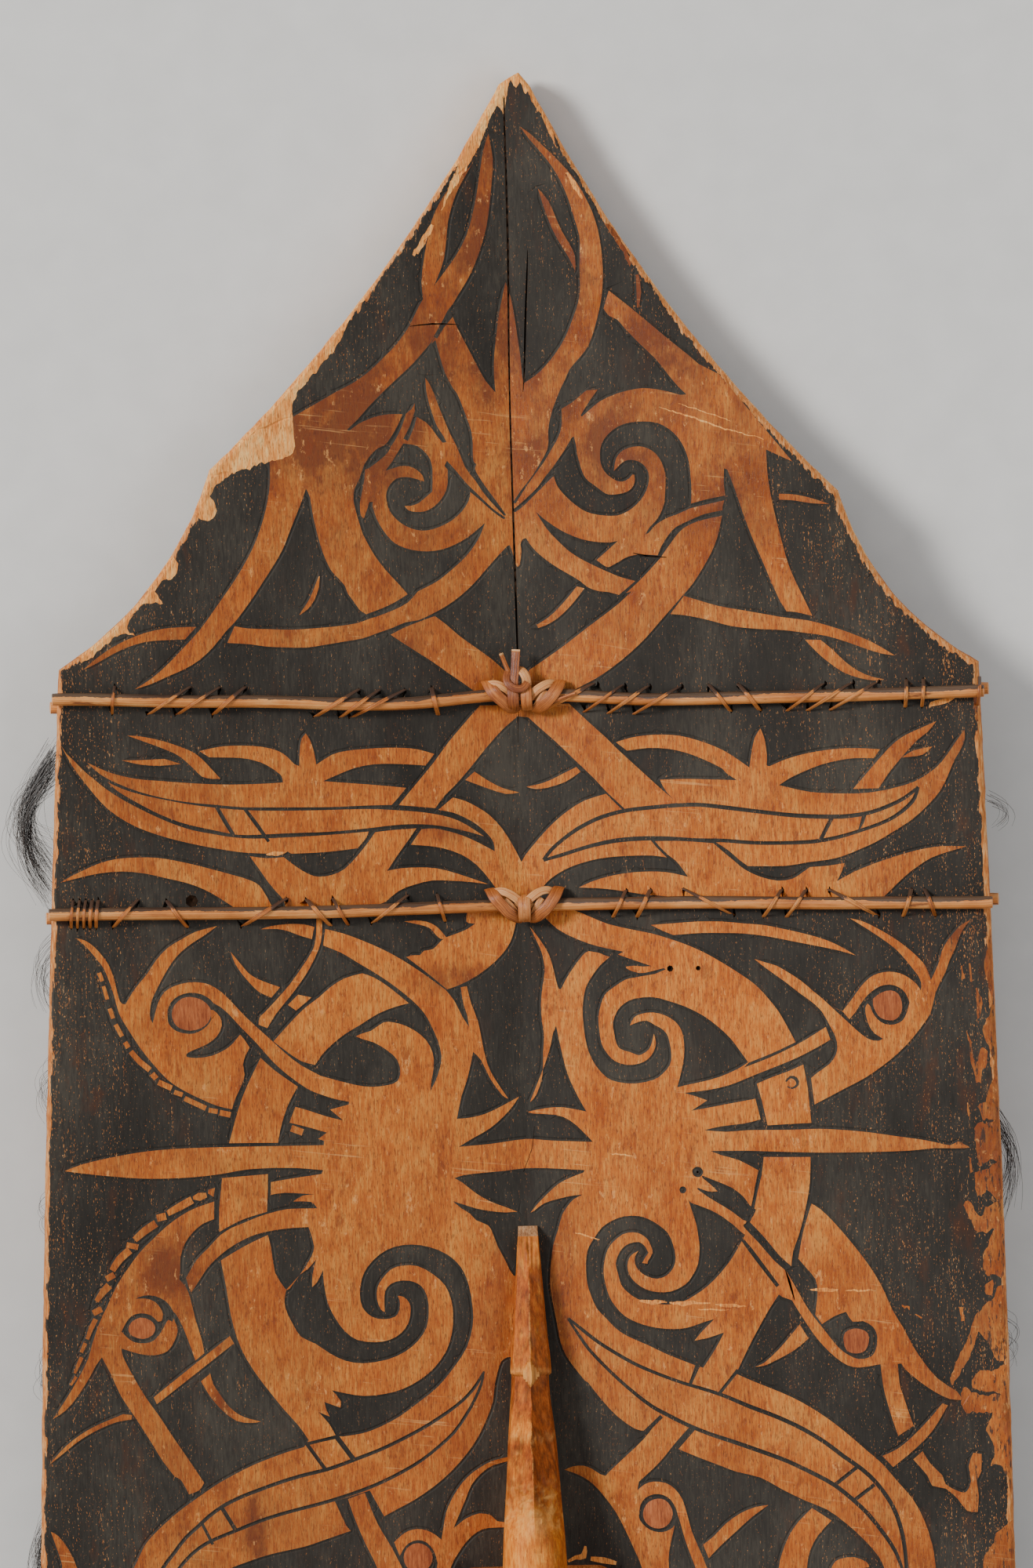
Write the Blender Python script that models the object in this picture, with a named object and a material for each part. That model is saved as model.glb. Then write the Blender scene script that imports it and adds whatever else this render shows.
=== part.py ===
"""A Dayak war shield of painted wood, lying on its front with the handle up.

The board is a shallow V with a long point at each end. The fingers pass under the handle, over a
hollow cut into the board. The handle is carved from the same block as the board. It is parted from it
at its foot, so that collision can stay open under the grip. Four rattan canes lie across the back and
four across the front, each pair laced together through the wood, with a plaited knot at the middle of
each back cane. The shield rests where its front canes cross the flat strip along the ridge.

Units are metres. X runs across the shield, Y along it towards the end that the photo shows, Z up.
Every place is measured from the ridge line, and one empty moves the whole shield so that the middle of
its box is at the origin.
"""

import math

import bmesh
import bpy

SHIELD = "dayak_war_shield"

# The outline of one end, as (across, along) from the ridge line, on each wing. The other end is its
# mirror image. A flank runs from the tip to the shoulder, and a waist from there to the corner. Each
# is a quadratic curve, drawn in towards its pull point.
TIP_TOP = (0.0055, 0.6257)
TIP = {"left": (0.0017, 0.6212), "right": (0.0098, 0.6206)}
FLANK_PULL = {"left": (0.0491, 0.5366), "right": (0.0557, 0.5285)}
SHOULDER = {"left": (0.1183, 0.4712), "right": (0.1274, 0.4580)}
WAIST_PULL = {"left": (0.1348, 0.4215), "right": (0.1400, 0.4140)}
CORNER = {"left": (0.1788, 0.3940), "right": (0.1807, 0.3898)}
SIDE_PULL = {"left": (0.1905, 0.1700), "right": (0.1868, 0.1900)}
HALF_WIDTH = {"left": 0.1938, "right": 0.1880}
CURVE_STEPS = 7

# The section across the board.
RIDGE_Z = 0.0053
RIDGE_HALF = 0.009
UNDER_RISE = math.tan(math.radians(9.0))
CREASE_Z = 0.0173
BACK_RISE = math.tan(math.radians(7.4))

# The handle at stations from its end to the middle: along, half width, height over the crease.
HANDLE_STATIONS = (
    (0.1718, 0.0040, 0.0018),
    (0.1682, 0.0043, 0.0064),
    (0.1520, 0.0056, 0.0105),
    (0.1340, 0.0068, 0.0145),
    (0.1140, 0.0079, 0.0190),
    (0.0885, 0.0094, 0.0262),
    (0.0700, 0.0105, 0.0318),
    (0.0520, 0.0119, 0.0368),
    (0.0370, 0.0127, 0.0392),
    (0.0000, 0.0132, 0.0400),
)
HANDLE_PART = 0.0003
SHOULDER_UP = 0.50
FACET_IN = 0.52
FACET_UP = 0.90

# The lozenge-shaped boss on the handle's ridge.
BOSS_ALONG = 0.1140
BOSS_RADIUS = 0.0046
BOSS_STRETCH = 1.35
BOSS_FOOT = 0.0140
BOSS_TOP = 0.0206

# The hollow that the fingers reach into, under the middle of the handle.
HOLLOW_SIZE = (0.064, 0.076, 0.026)
HOLLOW_DEPTH = 0.0055
HOLLOW_ROUND = 0.008

# The canes: their thickness, the gap that keeps them off the wood, and how far they stand off it where
# they cross the crease.
CANE_RADIUS = 0.0025
CANE_GAP = 0.0003
CREASE_BEND = 0.0015
CANE_STEP = 0.012
CANE_SIDES = 12
# The line of each back cane on the end shown, as (across, along).
BACK_CANES = {
    "outer": (
        (-0.1816, 0.3826),
        (-0.1170, 0.3806),
        (-0.0490, 0.3782),
        (0.0000, 0.3812),
        (0.0590, 0.3778),
        (0.1210, 0.3778),
        (0.1826, 0.3784),
    ),
    "inner": (
        (-0.1846, 0.2984),
        (-0.0816, 0.2972),
        (0.0000, 0.2982),
        (0.0600, 0.2980),
        (0.1345, 0.2964),
        (0.1842, 0.2957),
    ),
}
# Each front cane is straight: left end, right end, along.
FRONT_CANES = {
    "outer": (-0.1830, 0.1850, 0.3795),
    "inner": (-0.1862, 0.1872, 0.2968),
}

# The plaited knot at the middle of each back cane.
KNOT_HALF = (0.0158, 0.0068, 0.0050)
KNOT_LIFT = 0.0007


def quadratic(start, pull, end, steps):
    """Points along a quadratic curve, without its end point."""
    points = []
    for i in range(steps):
        t = i / steps
        points.append(
            tuple(
                (1 - t) ** 2 * a + 2 * t * (1 - t) * b + t**2 * c
                for a, b, c in zip(start, pull, end, strict=True)
            )
        )
    return points


def wing_end(side):
    """The outline of one wing from the tip to the widest point, as (across, along)."""
    middle = (HALF_WIDTH[side], 0.0)
    points = quadratic(TIP[side], FLANK_PULL[side], SHOULDER[side], CURVE_STEPS)
    points += quadratic(SHOULDER[side], WAIST_PULL[side], CORNER[side], CURVE_STEPS)
    points += quadratic(CORNER[side], SIDE_PULL[side], middle, CURVE_STEPS)
    return [*points, middle]


def wing(side, sign):
    """The whole outline of one wing, from the upper tip down to the lower one."""
    upper = [(sign * x, y) for x, y in wing_end(side)]
    return upper + [(x, -y) for x, y in reversed(upper[:-1])]


def board_outline():
    """The board's plan outline, clockwise from the upper tip."""
    lower_top = (TIP_TOP[0], -TIP_TOP[1])
    return [TIP_TOP, *wing("right", 1), lower_top, *reversed(wing("left", -1))]


def back_z(x):
    """Height of the back, the side with the handle."""
    return CREASE_Z + BACK_RISE * abs(x)


def front_z(x):
    """Height of the front, which has a flat strip along its ridge."""
    return RIDGE_Z + UNDER_RISE * max(abs(x) - RIDGE_HALF, 0.0)


def new_collection(name):
    collection = bpy.data.collections.new(name)
    bpy.context.scene.collection.children.link(collection)
    return collection


def new_object(name, data, collection, frame):
    ob = bpy.data.objects.new(name, data)
    collection.objects.link(ob)
    ob.parent = frame
    return ob


def make_material(name, color, roughness):
    material = bpy.data.materials.new(name)
    material.use_nodes = True
    shader = material.node_tree.nodes["Principled BSDF"]
    shader.inputs["Base Color"].default_value = (*color, 1.0)
    shader.inputs["Roughness"].default_value = roughness
    shader.inputs["Metallic"].default_value = 0.0
    return material


def mesh_from_curve(curve):
    """A curve's mesh, with its loose caps welded on."""
    ob = bpy.data.objects.new("curve", curve)
    bpy.context.scene.collection.objects.link(ob)
    mesh = bpy.data.meshes.new_from_object(ob.evaluated_get(bpy.context.evaluated_depsgraph_get()))
    bpy.data.objects.remove(ob)
    bpy.data.curves.remove(curve)
    bm = bmesh.new()
    bm.from_mesh(mesh)
    bmesh.ops.remove_doubles(bm, verts=bm.verts, dist=1e-6)
    bm.to_mesh(mesh)
    bm.free()
    return mesh


def poly_spline(curve, points, cyclic=False):
    spline = curve.splines.new("POLY")
    spline.points.add(len(points) - 1)
    for point, co in zip(spline.points, points, strict=True):
        point.co = (*co, 1.0)
    spline.use_cyclic_u = cyclic


def board_mesh():
    """The outline as a flat plate, split along the ridge lines and folded into its shallow V."""
    curve = bpy.data.curves.new("board_outline", "CURVE")
    curve.dimensions = "2D"
    curve.fill_mode = "BOTH"
    curve.extrude = 0.01
    poly_spline(curve, [(x, y, 0.0) for x, y in board_outline()], cyclic=True)
    mesh = mesh_from_curve(curve)
    bm = bmesh.new()
    bm.from_mesh(mesh)
    bmesh.ops.dissolve_limit(bm, angle_limit=0.01, verts=bm.verts, edges=bm.edges)
    for x in (-RIDGE_HALF, 0.0, RIDGE_HALF):
        bmesh.ops.bisect_plane(
            bm, geom=[*bm.verts, *bm.edges, *bm.faces], plane_co=(x, 0, 0), plane_no=(1, 0, 0)
        )
    for vert in bm.verts:
        fold = back_z if vert.co.z > 0 else front_z
        vert.co.z = fold(vert.co.x)
    bmesh.ops.recalc_face_normals(bm, faces=bm.faces)
    bm.to_mesh(mesh)
    bm.free()
    return mesh


def handle_section(along, half, height):
    """One section of the handle: a foot that follows the V, upright sides, two facets and a ridge."""
    foot = back_z(half) + HANDLE_PART
    rise = CREASE_Z + height - foot
    right = [
        (half, foot),
        (half, foot + SHOULDER_UP * rise),
        (FACET_IN * half, foot + FACET_UP * rise),
    ]
    left = [(-x, z) for x, z in reversed(right)]
    crease = (0.0, CREASE_Z + HANDLE_PART)
    return [(x, along, z) for x, z in [crease, *right, (0.0, CREASE_Z + height), *left]]


def handle_mesh():
    """The handle lofted through its stations and their mirror images."""
    stations = [*HANDLE_STATIONS, *((-y, w, h) for y, w, h in reversed(HANDLE_STATIONS[:-1]))]
    bm = bmesh.new()
    rings = [[bm.verts.new(co) for co in handle_section(*station)] for station in stations]
    for one, two in zip(rings, rings[1:], strict=False):
        for i in range(len(one)):
            bm.faces.new((one[i - 1], one[i], two[i], two[i - 1]))
    bm.faces.new(rings[0])
    bm.faces.new(rings[-1])
    bmesh.ops.recalc_face_normals(bm, faces=bm.faces)
    mesh = bpy.data.meshes.new("handle")
    bm.to_mesh(mesh)
    bm.free()
    return mesh


def boss_mesh(along):
    """A four-sided boss that rises to a point on the handle's ridge."""
    bm = bmesh.new()
    bmesh.ops.create_cone(
        bm, cap_ends=True, segments=4, radius1=BOSS_RADIUS, radius2=0.0012, depth=BOSS_TOP - BOSS_FOOT
    )
    for vert in bm.verts:
        vert.co.y = vert.co.y * BOSS_STRETCH + along
        vert.co.z += CREASE_Z + (BOSS_TOP + BOSS_FOOT) / 2
    mesh = bpy.data.meshes.new("boss")
    bm.to_mesh(mesh)
    bm.free()
    return mesh


def hollow_mesh():
    """The rounded block of air under the grip, which reaches into the board."""
    bm = bmesh.new()
    bmesh.ops.create_cube(bm, size=1.0)
    for vert in bm.verts:
        vert.co.x *= HOLLOW_SIZE[0]
        vert.co.y *= HOLLOW_SIZE[1]
        vert.co.z = vert.co.z * HOLLOW_SIZE[2] + CREASE_Z - HOLLOW_DEPTH + HOLLOW_SIZE[2] / 2
    bmesh.ops.bevel(
        bm, geom=bm.edges[:], offset=HOLLOW_ROUND, segments=3, profile=0.5, affect="EDGES"
    )
    mesh = bpy.data.meshes.new("hollow")
    bm.to_mesh(mesh)
    bm.free()
    return mesh


def smooth_between(points, x):
    """The height of a smooth curve through the points, read at x."""
    for (x0, y0), (x1, y1) in zip(points, points[1:], strict=False):
        if x <= x1:
            t = min(max((x - x0) / (x1 - x0), 0.0), 1.0)
            return y0 + (y1 - y0) * t * t * (3 - 2 * t)
    return points[-1][1]


def steps_between(start, end):
    """Evenly spaced values from start to end, with one of them at the ridge line."""
    left = max(round(-start / CANE_STEP), 1)
    right = max(round(end / CANE_STEP), 1)
    values = [start * (left - i) / left for i in range(left)]
    return values + [end * i / right for i in range(right + 1)]


def back_cane_z(x):
    """Height of a back cane's axis. It bends softly where it crosses the crease."""
    clear = (CANE_RADIUS + CANE_GAP) * math.hypot(1.0, BACK_RISE)
    return CREASE_Z + clear + math.hypot(BACK_RISE * x, CREASE_BEND)


def front_cane_z(x):
    """Height of a front cane's axis, which is level under the flat of the ridge."""
    clear = (CANE_RADIUS + CANE_GAP) * math.hypot(1.0, UNDER_RISE)
    return max(front_z(x) - clear, RIDGE_Z - CANE_GAP - CANE_RADIUS)


def cane_mesh(name, path, radius):
    """A round cane along a path of (x, y, z) points, capped at both ends."""
    curve = bpy.data.curves.new(name, "CURVE")
    curve.dimensions = "3D"
    curve.bevel_depth = radius
    curve.bevel_resolution = (CANE_SIDES - 4) // 2
    curve.use_fill_caps = True
    poly_spline(curve, path)
    return mesh_from_curve(curve)


def back_cane_path(line, end):
    """The path of a back cane. The end not shown has the same line turned about the middle."""
    path = []
    for x in steps_between(line[0][0], line[-1][0]):
        path.append((x, end * smooth_between(line, x), back_cane_z(x)))
    return path


def front_cane_path(left, right, along, end):
    """The path of a front cane, which turns on each side of the ridge's flat."""
    turn = RIDGE_HALF + (CANE_RADIUS + CANE_GAP) * (math.hypot(1.0, UNDER_RISE) - 1) / UNDER_RISE
    return [(x, end * along, front_cane_z(x)) for x in (left, -turn, turn, right)]


def knot_mesh(along):
    """A rounded knot that straddles the cane and stops just clear of both wings."""
    bm = bmesh.new()
    bmesh.ops.create_uvsphere(bm, u_segments=20, v_segments=12, radius=1.0)
    for vert in bm.verts:
        vert.co.x *= KNOT_HALF[0]
        vert.co.y = vert.co.y * KNOT_HALF[1] + along
        vert.co.z = vert.co.z * KNOT_HALF[2] + back_cane_z(0.0) + KNOT_LIFT
    for sign in (-1, 1):
        cut = bmesh.ops.bisect_plane(
            bm,
            geom=[*bm.verts, *bm.edges, *bm.faces],
            plane_co=(0, 0, CREASE_Z + CANE_GAP),
            plane_no=(sign * BACK_RISE, 0, -1),
            clear_outer=True,
        )
        rim = [g for g in cut["geom_cut"] if isinstance(g, bmesh.types.BMEdge)]
        bmesh.ops.holes_fill(bm, edges=rim)
    bmesh.ops.recalc_face_normals(bm, faces=bm.faces)
    mesh = bpy.data.meshes.new("knot")
    bm.to_mesh(mesh)
    bm.free()
    return mesh


def add_boolean(ob, cutter, operation):
    modifier = ob.modifiers.new(cutter.name, "BOOLEAN")
    modifier.operation = operation
    modifier.solver = "EXACT"
    modifier.object = cutter


def make_cutter(name, mesh, cutters, frame):
    cutter = new_object(name, mesh, cutters, frame)
    cutter.display_type = "WIRE"
    cutter.hide_render = True
    return cutter


def make_board(parts, cutters, frame, wood):
    """The board, and the handle with its bosses, with the finger hollow cut through under the grip."""
    board = new_object("board", board_mesh(), parts, frame)
    handle = new_object("handle", handle_mesh(), parts, frame)
    for label, end in (("upper", 1), ("lower", -1)):
        boss = make_cutter(f"boss_{label}", boss_mesh(end * BOSS_ALONG), cutters, frame)
        add_boolean(handle, boss, "UNION")
    hollow = make_cutter("finger_hollow", hollow_mesh(), cutters, frame)
    for ob in (board, handle):
        add_boolean(ob, hollow, "DIFFERENCE")
        ob.data.materials.append(wood)


def make_canes(parts, cutters, frame, rattan):
    """A back and a front cane at each of the four places, and a knot on each back cane."""
    for label, end in (("upper", 1), ("lower", -1)):
        for row, line in BACK_CANES.items():
            place = f"{label}_{row}"
            path = back_cane_path(line, end)
            back = new_object(f"back_cane_{place}", cane_mesh("cane", path, CANE_RADIUS), parts, frame)
            left, right, along = FRONT_CANES[row]
            path_under = front_cane_path(left, right, along, end)
            front = new_object(
                f"front_cane_{place}", cane_mesh("cane", path_under, CANE_RADIUS), parts, frame
            )
            channel = cane_mesh("channel", path, CANE_RADIUS + CANE_GAP)
            knot = new_object(f"knot_{place}", knot_mesh(end * smooth_between(line, 0.0)), parts, frame)
            add_boolean(
                knot, make_cutter(f"channel_{place}", channel, cutters, frame), "DIFFERENCE"
            )
            for ob in (back, front, knot):
                ob.data.materials.append(rattan)


def main():
    for ob in list(bpy.data.objects):
        bpy.data.objects.remove(ob, do_unlink=True)
    parts = new_collection(SHIELD)
    cutters = new_collection("cutters")
    frame = bpy.data.objects.new("shield_frame", None)
    frame.location.x = (HALF_WIDTH["left"] - HALF_WIDTH["right"]) / 2
    parts.objects.link(frame)
    wood = make_material("painted_wood", (0.20, 0.085, 0.032), 0.6)
    rattan = make_material("rattan", (0.50, 0.25, 0.09), 0.5)
    make_board(parts, cutters, frame, wood)
    make_canes(parts, cutters, frame, rattan)


main()
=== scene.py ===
"""The looks of the Dayak war shield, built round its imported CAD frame.

The carved body, with the board and the handle in one piece, has its pattern cut into its mesh: the
figures, the black ground and the worn patches are separate areas of one triangulation, and a fine
groove runs along every border. The canes, the lacing, the plaited knots and the hair are modelled
strand by strand. Sizes are in millimetres from the ridge line, at the middle of the shield's length.
"""

import math
import random

import bpy
import numpy as np
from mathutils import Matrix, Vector, noise
from mathutils.geometry import delaunay_2d_cdt
from mathutils.kdtree import KDTree

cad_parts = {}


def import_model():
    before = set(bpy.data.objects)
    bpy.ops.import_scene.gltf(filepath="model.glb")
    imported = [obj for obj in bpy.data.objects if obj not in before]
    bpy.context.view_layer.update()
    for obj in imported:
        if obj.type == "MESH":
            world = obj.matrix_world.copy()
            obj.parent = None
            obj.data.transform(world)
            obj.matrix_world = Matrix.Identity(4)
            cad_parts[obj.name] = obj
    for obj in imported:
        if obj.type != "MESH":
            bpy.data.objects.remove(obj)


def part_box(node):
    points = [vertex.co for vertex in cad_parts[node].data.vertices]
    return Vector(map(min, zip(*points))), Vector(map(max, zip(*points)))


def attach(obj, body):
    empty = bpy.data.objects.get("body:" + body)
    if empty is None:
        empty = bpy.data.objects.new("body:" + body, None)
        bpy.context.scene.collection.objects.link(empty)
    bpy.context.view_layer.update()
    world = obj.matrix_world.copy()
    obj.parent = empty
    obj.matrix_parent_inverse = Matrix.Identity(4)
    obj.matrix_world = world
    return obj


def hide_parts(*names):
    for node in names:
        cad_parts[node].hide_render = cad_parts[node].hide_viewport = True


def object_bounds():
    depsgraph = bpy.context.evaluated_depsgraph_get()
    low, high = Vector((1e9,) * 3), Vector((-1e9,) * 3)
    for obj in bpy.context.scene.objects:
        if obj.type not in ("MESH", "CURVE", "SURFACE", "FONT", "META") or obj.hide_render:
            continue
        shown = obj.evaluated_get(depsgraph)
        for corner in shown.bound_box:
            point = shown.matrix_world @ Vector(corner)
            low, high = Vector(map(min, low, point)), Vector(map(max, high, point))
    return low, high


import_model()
CAD_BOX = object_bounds()
MM = 0.001

# The outline of one end of each wing, as in the CAD model.
TIP_TOP = (5.5, 625.7)
TIP = {"left": (1.7, 621.2), "right": (9.8, 620.6)}
FLANK_PULL = {"left": (49.1, 536.6), "right": (55.7, 528.5)}
SHOULDER = {"left": (118.3, 471.2), "right": (127.4, 458.0)}
WAIST_PULL = {"left": (134.8, 421.5), "right": (140.0, 414.0)}
CORNER = {"left": (178.8, 394.0), "right": (180.7, 389.8)}
SIDE_PULL = {"left": (190.5, 170.0), "right": (186.8, 190.0)}
HALF_WIDTH = {"left": 193.8, "right": 188.0}

# The board's box gives the ridge line's place across and the lowest height of its front.
BOARD_LOW, BOARD_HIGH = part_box("board")
RIDGE_X = (BOARD_LOW[0] + BOARD_HIGH[0]) / 2 / MM + (HALF_WIDTH["left"] - HALF_WIDTH["right"]) / 2
RIDGE_Z = BOARD_LOW[2] / MM
RIDGE_HALF = 9.0
UNDER_RISE = math.tan(math.radians(9.0))
CREASE_Z = RIDGE_Z + 12.0
BACK_RISE = math.tan(math.radians(7.4))

# The handle at stations from its end to the middle: along, half width, height over the crease.
HANDLE_STATIONS = (
    (171.8, 3.8, 1.8),
    (168.2, 4.0, 6.4),
    (152.0, 5.2, 10.5),
    (134.0, 6.5, 14.5),
    (114.0, 8.1, 19.0),
    (88.5, 9.4, 26.2),
    (70.0, 10.5, 31.8),
    (52.0, 11.9, 36.8),
    (37.0, 12.7, 39.2),
    (0.0, 13.2, 40.0),
)

# The hollow under the grip.
HOLLOW_HALF = (32.0, 38.0)
HOLLOW_FLOOR = CREASE_Z - 5.5
HOLLOW_TOP = CREASE_Z + 20.5
HOLLOW_ROUND = 8.0

CANE_RADIUS = 2.5
CANE_GAP = 0.3
CREASE_BEND = 1.5

# The state that the noise of the torn edges starts from, so that every run tears them alike.
TEAR_SEED = 5

# How deep the groove beside a border runs, and how far the lacing's holes lie from their cane.
GROOVE = 0.3
# The groove's bottom and its outer brink: how far each lies from the border, how deep it is, and how
# clear of other borders it has to be. What lies on each side of a border is looked up so far from it.
GROOVE_POINTS = ((0.8, GROOVE, 0.5), (1.4, 0.0, 1.15))
BESIDE = 0.35
HOLE_OFF = 5.2

# The line of each back cane on the end shown, as (across, along).
BACK_CANES = {
    "outer": (
        (-181.6, 382.6),
        (-117.0, 380.6),
        (-49.0, 378.2),
        (0.0, 381.2),
        (59.0, 377.8),
        (121.0, 377.8),
        (182.6, 378.4),
    ),
    "inner": (
        (-184.6, 298.4),
        (-81.6, 297.2),
        (0.0, 298.2),
        (60.0, 298.0),
        (134.5, 296.4),
        (184.2, 295.7),
    ),
}
# Each front cane is straight: left end, right end, along.
FRONT_CANES = {"outer": (-183.0, 185.0, 379.5), "inner": (-186.2, 187.2, 296.8)}

# Where each strip of lacing crosses a back cane: its place across at the near hole and the far one.
LACING = {
    "outer": (
        (-158.5, -157.3),
        (-145.0, -128.0),
        (-134.0, -116.5),
        (-119.5, -106.5),
        (-80.0, -62.0),
        (-70.0, -54.0),
        (-66.0, -44.0),
        (-31.0, -33.5),
        (11.0, 32.0),
        (26.5, 42.7),
        (36.0, 52.5),
        (46.0, 65.0),
        (84.0, 75.5),
        (95.5, 87.0),
        (106.0, 121.0),
        (114.0, 132.0),
        (123.0, 142.0),
        (152.0, 152.6),
        (158.5, 159.3),
        (180.3, 181.2),
    ),
    "inner": (
        (-176.2, -175.2),
        (-173.8, -172.7),
        (-171.3, -170.3),
        (-168.9, -167.8),
        (-166.5, -165.4),
        (-160.0, -150.0),
        (-131.0, -139.0),
        (-110.0, -92.0),
        (-75.0, -84.5),
        (-68.0, -74.0),
        (-59.0, -44.5),
        (-30.0, -33.0),
        (36.0, 41.5),
        (45.5, 51.0),
        (83.5, 64.0),
        (95.0, 102.5),
        (104.0, 112.0),
        (140.0, 121.0),
        (149.5, 153.0),
        (162.0, 158.0),
    ),
}

# Cracks along the grain, as (across, along, width) points.
CRACKS = (
    (
        (0.0, 616.0, 0.5),
        (-0.1, 608.0, 0.7),
        (0.2, 560.0, 0.9),
        (-0.3, 500.0, 0.7),
        (0.4, 426.0, 0.9),
        (0.8, 387.0, 0.6),
    ),
    ((7.9, 556.0, 0.2), (7.6, 548.0, 0.6), (6.6, 530.0, 0.8), (5.7, 509.0, 0.7), (5.0, 500.0, 0.2)),
    ((0.6, 373.0, 0.4), (0.3, 368.0, 0.25), (0.2, 362.0, 0.2)),
    ((3.4, 211.0, 0.2), (2.2, 202.0, 0.25), (-1.4, 193.0, 0.2)),
    ((-39.0, 526.6, 0.2), (-30.0, 527.4, 0.7), (-20.0, 527.0, 0.3)),
    ((47.0, 435.6, 0.3), (52.0, 434.4, 0.8), (60.0, 433.6, 0.3)),
    ((100.6, 153.0, 0.3), (102.2, 148.0, 1.0), (104.0, 141.0, 0.3)),
)
# Small round holes where knots fell out, as (across, along, radius).
DENTS = ((-129.0, 302.6, 2.5), (58.0, 272.0, 1.3), (69.0, 272.0, 1.0), (67.1, 191.9, 0.5))
SEVENTHS = tuple(2 * math.pi * i / 7 for i in range(7))
THIRDS = tuple(2 * math.pi * i / 3 for i in range(3))

# How dark the board's wood is: least at one place along it, more to the middle and to the tips.
LIGHTEST_AT = 280.0
LIGHTEST = 0.15
DARK_MIDDLE = 0.45
DARK_TIP = 0.8
# Brown stains, and paler places where the strength is below zero, as (across, along, half width,
# half length, strength).
STAINS = (
    (85.0, 250.0, 30.0, 60.0, -0.12),
    (10.0, 500.0, 60.0, 55.0, 0.3),
    (0.0, 562.0, 40.0, 20.0, 0.3),
    (60.0, 520.0, 14.0, 30.0, 0.22),
    (-75.0, 480.0, 45.0, 45.0, 0.3),
    (176.0, 230.0, 12.0, 130.0, 0.35),
    (168.7, 284.5, 5.0, 4.0, 0.5),
    (159.5, 275.0, 4.0, 5.0, -0.3),
    (-24.0, 270.0, 15.0, 5.0, 0.8),
    (-28.0, 328.0, 12.0, 4.0, 0.5),
    (-139.0, 160.0, 16.0, 16.0, 0.42),
    (-122.0, 96.0, 5.0, 26.0, 0.4),
    (-108.7, 56.0, 2.2, 20.0, 0.8),
    (-90.0, 495.0, 20.0, 12.0, 0.5),
    (45.0, 476.0, 26.0, 10.0, 0.15),
    (86.0, 455.0, 10.0, 22.0, 0.5),
    (0.0, 398.0, 5.0, 18.0, 0.3),
    (63.0, 402.0, 14.0, 10.0, 0.4),
    (-55.0, 400.0, 30.0, 10.0, 0.35),
    (-12.0, 130.0, 8.0, 46.0, 0.35),
    (12.0, 130.0, 8.0, 46.0, 0.45),
)

# The handle's section, as (along, height of the shoulder, and brow across and up, as shares of the
# half width and the height, and roundness).
HANDLE_FORMS = (
    (172.0, 0.80, 0.93, 0.99, 0.0),
    (167.8, 0.86, 0.93, 0.99, 0.0),
    (156.0, 0.50, 0.90, 0.70, 0.0),
    (62.0, 0.46, 0.90, 0.64, 0.0),
    (50.0, 0.46, 0.90, 0.70, 1.0),
    (0.0, 0.46, 0.90, 0.70, 1.0),
)
# How dark the handle's wood is, as (along, left of the crest, right of it). Painted shade makes the right of
# the crest darker, for the facets turned from the key light, and the dark at 112 is a painted shadow under
# the ledge.
HANDLE_TONE_AND_SHADE = (
    (172.0, 0.4, 0.4),
    (158.0, 0.35, 0.4),
    (152.0, 0.45, 0.6),
    (140.0, 0.42, 0.55),
    (124.0, 0.44, 0.55),
    (116.0, 0.38, 0.5),
    (112.0, 0.6, 0.8),
    (103.0, 0.45, 0.85),
    (92.0, 0.25, 0.6),
    (87.0, 0.5, 0.8),
    (76.0, 0.45, 0.7),
    (66.0, 0.35, 0.45),
    (58.0, 0.12, 0.4),
    (52.0, 0.04, 0.34),
    (0.0, 0.06, 0.3),
)
# The knife's marks on the handle, along it: the scoop's two ends, the lozenge's middle and its reach
# (across, along), the ledge beside it, the row of chips, and the rough lump's two ends and its middle.
SCOOP = (154.0, 166.5)
LOZENGE = (-0.2, 114.4)
LOZENGE_REACH = (3.7, 6.2)
LEDGE = 115.4
LEDGE_FADES = 108.0
CHIP_ROW = 89.8
CHIP_ROW_FADES = 76.0
LUMP = (52.0, 69.0)
LUMP_MIDDLE = 58.0
# Nicks in the handle, as (across, along, reach across, reach along, depth, paleness).
HANDLE_NICKS = (
    (4.9, 66.4, 2.2, 0.5, 0.8, 0.8),
    (-3.6, 66.0, 1.2, 1.6, 0.7, 0.5),
    (-5.0, 61.5, 1.0, 0.8, 0.6, 0.4),
    (-7.6, 59.0, 0.7, 2.2, 0.7, 0.0),
    (-6.0, 56.4, 0.8, 1.2, 0.6, 0.0),
    (-1.6, 64.0, 0.8, 1.3, 0.6, 0.0),
    (-3.0, 123.0, 0.35, 0.5, 0.7, 0.0),
    (-5.0, 117.6, 0.5, 0.4, 0.5, 0.0),
    (-3.4, 141.0, 0.3, 0.4, 0.5, 0.0),
    (-6.2, 84.0, 1.0, 0.7, 0.5, 0.5),
    (2.0, 46.0, 0.5, 1.0, 0.5, 0.0),
)

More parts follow.
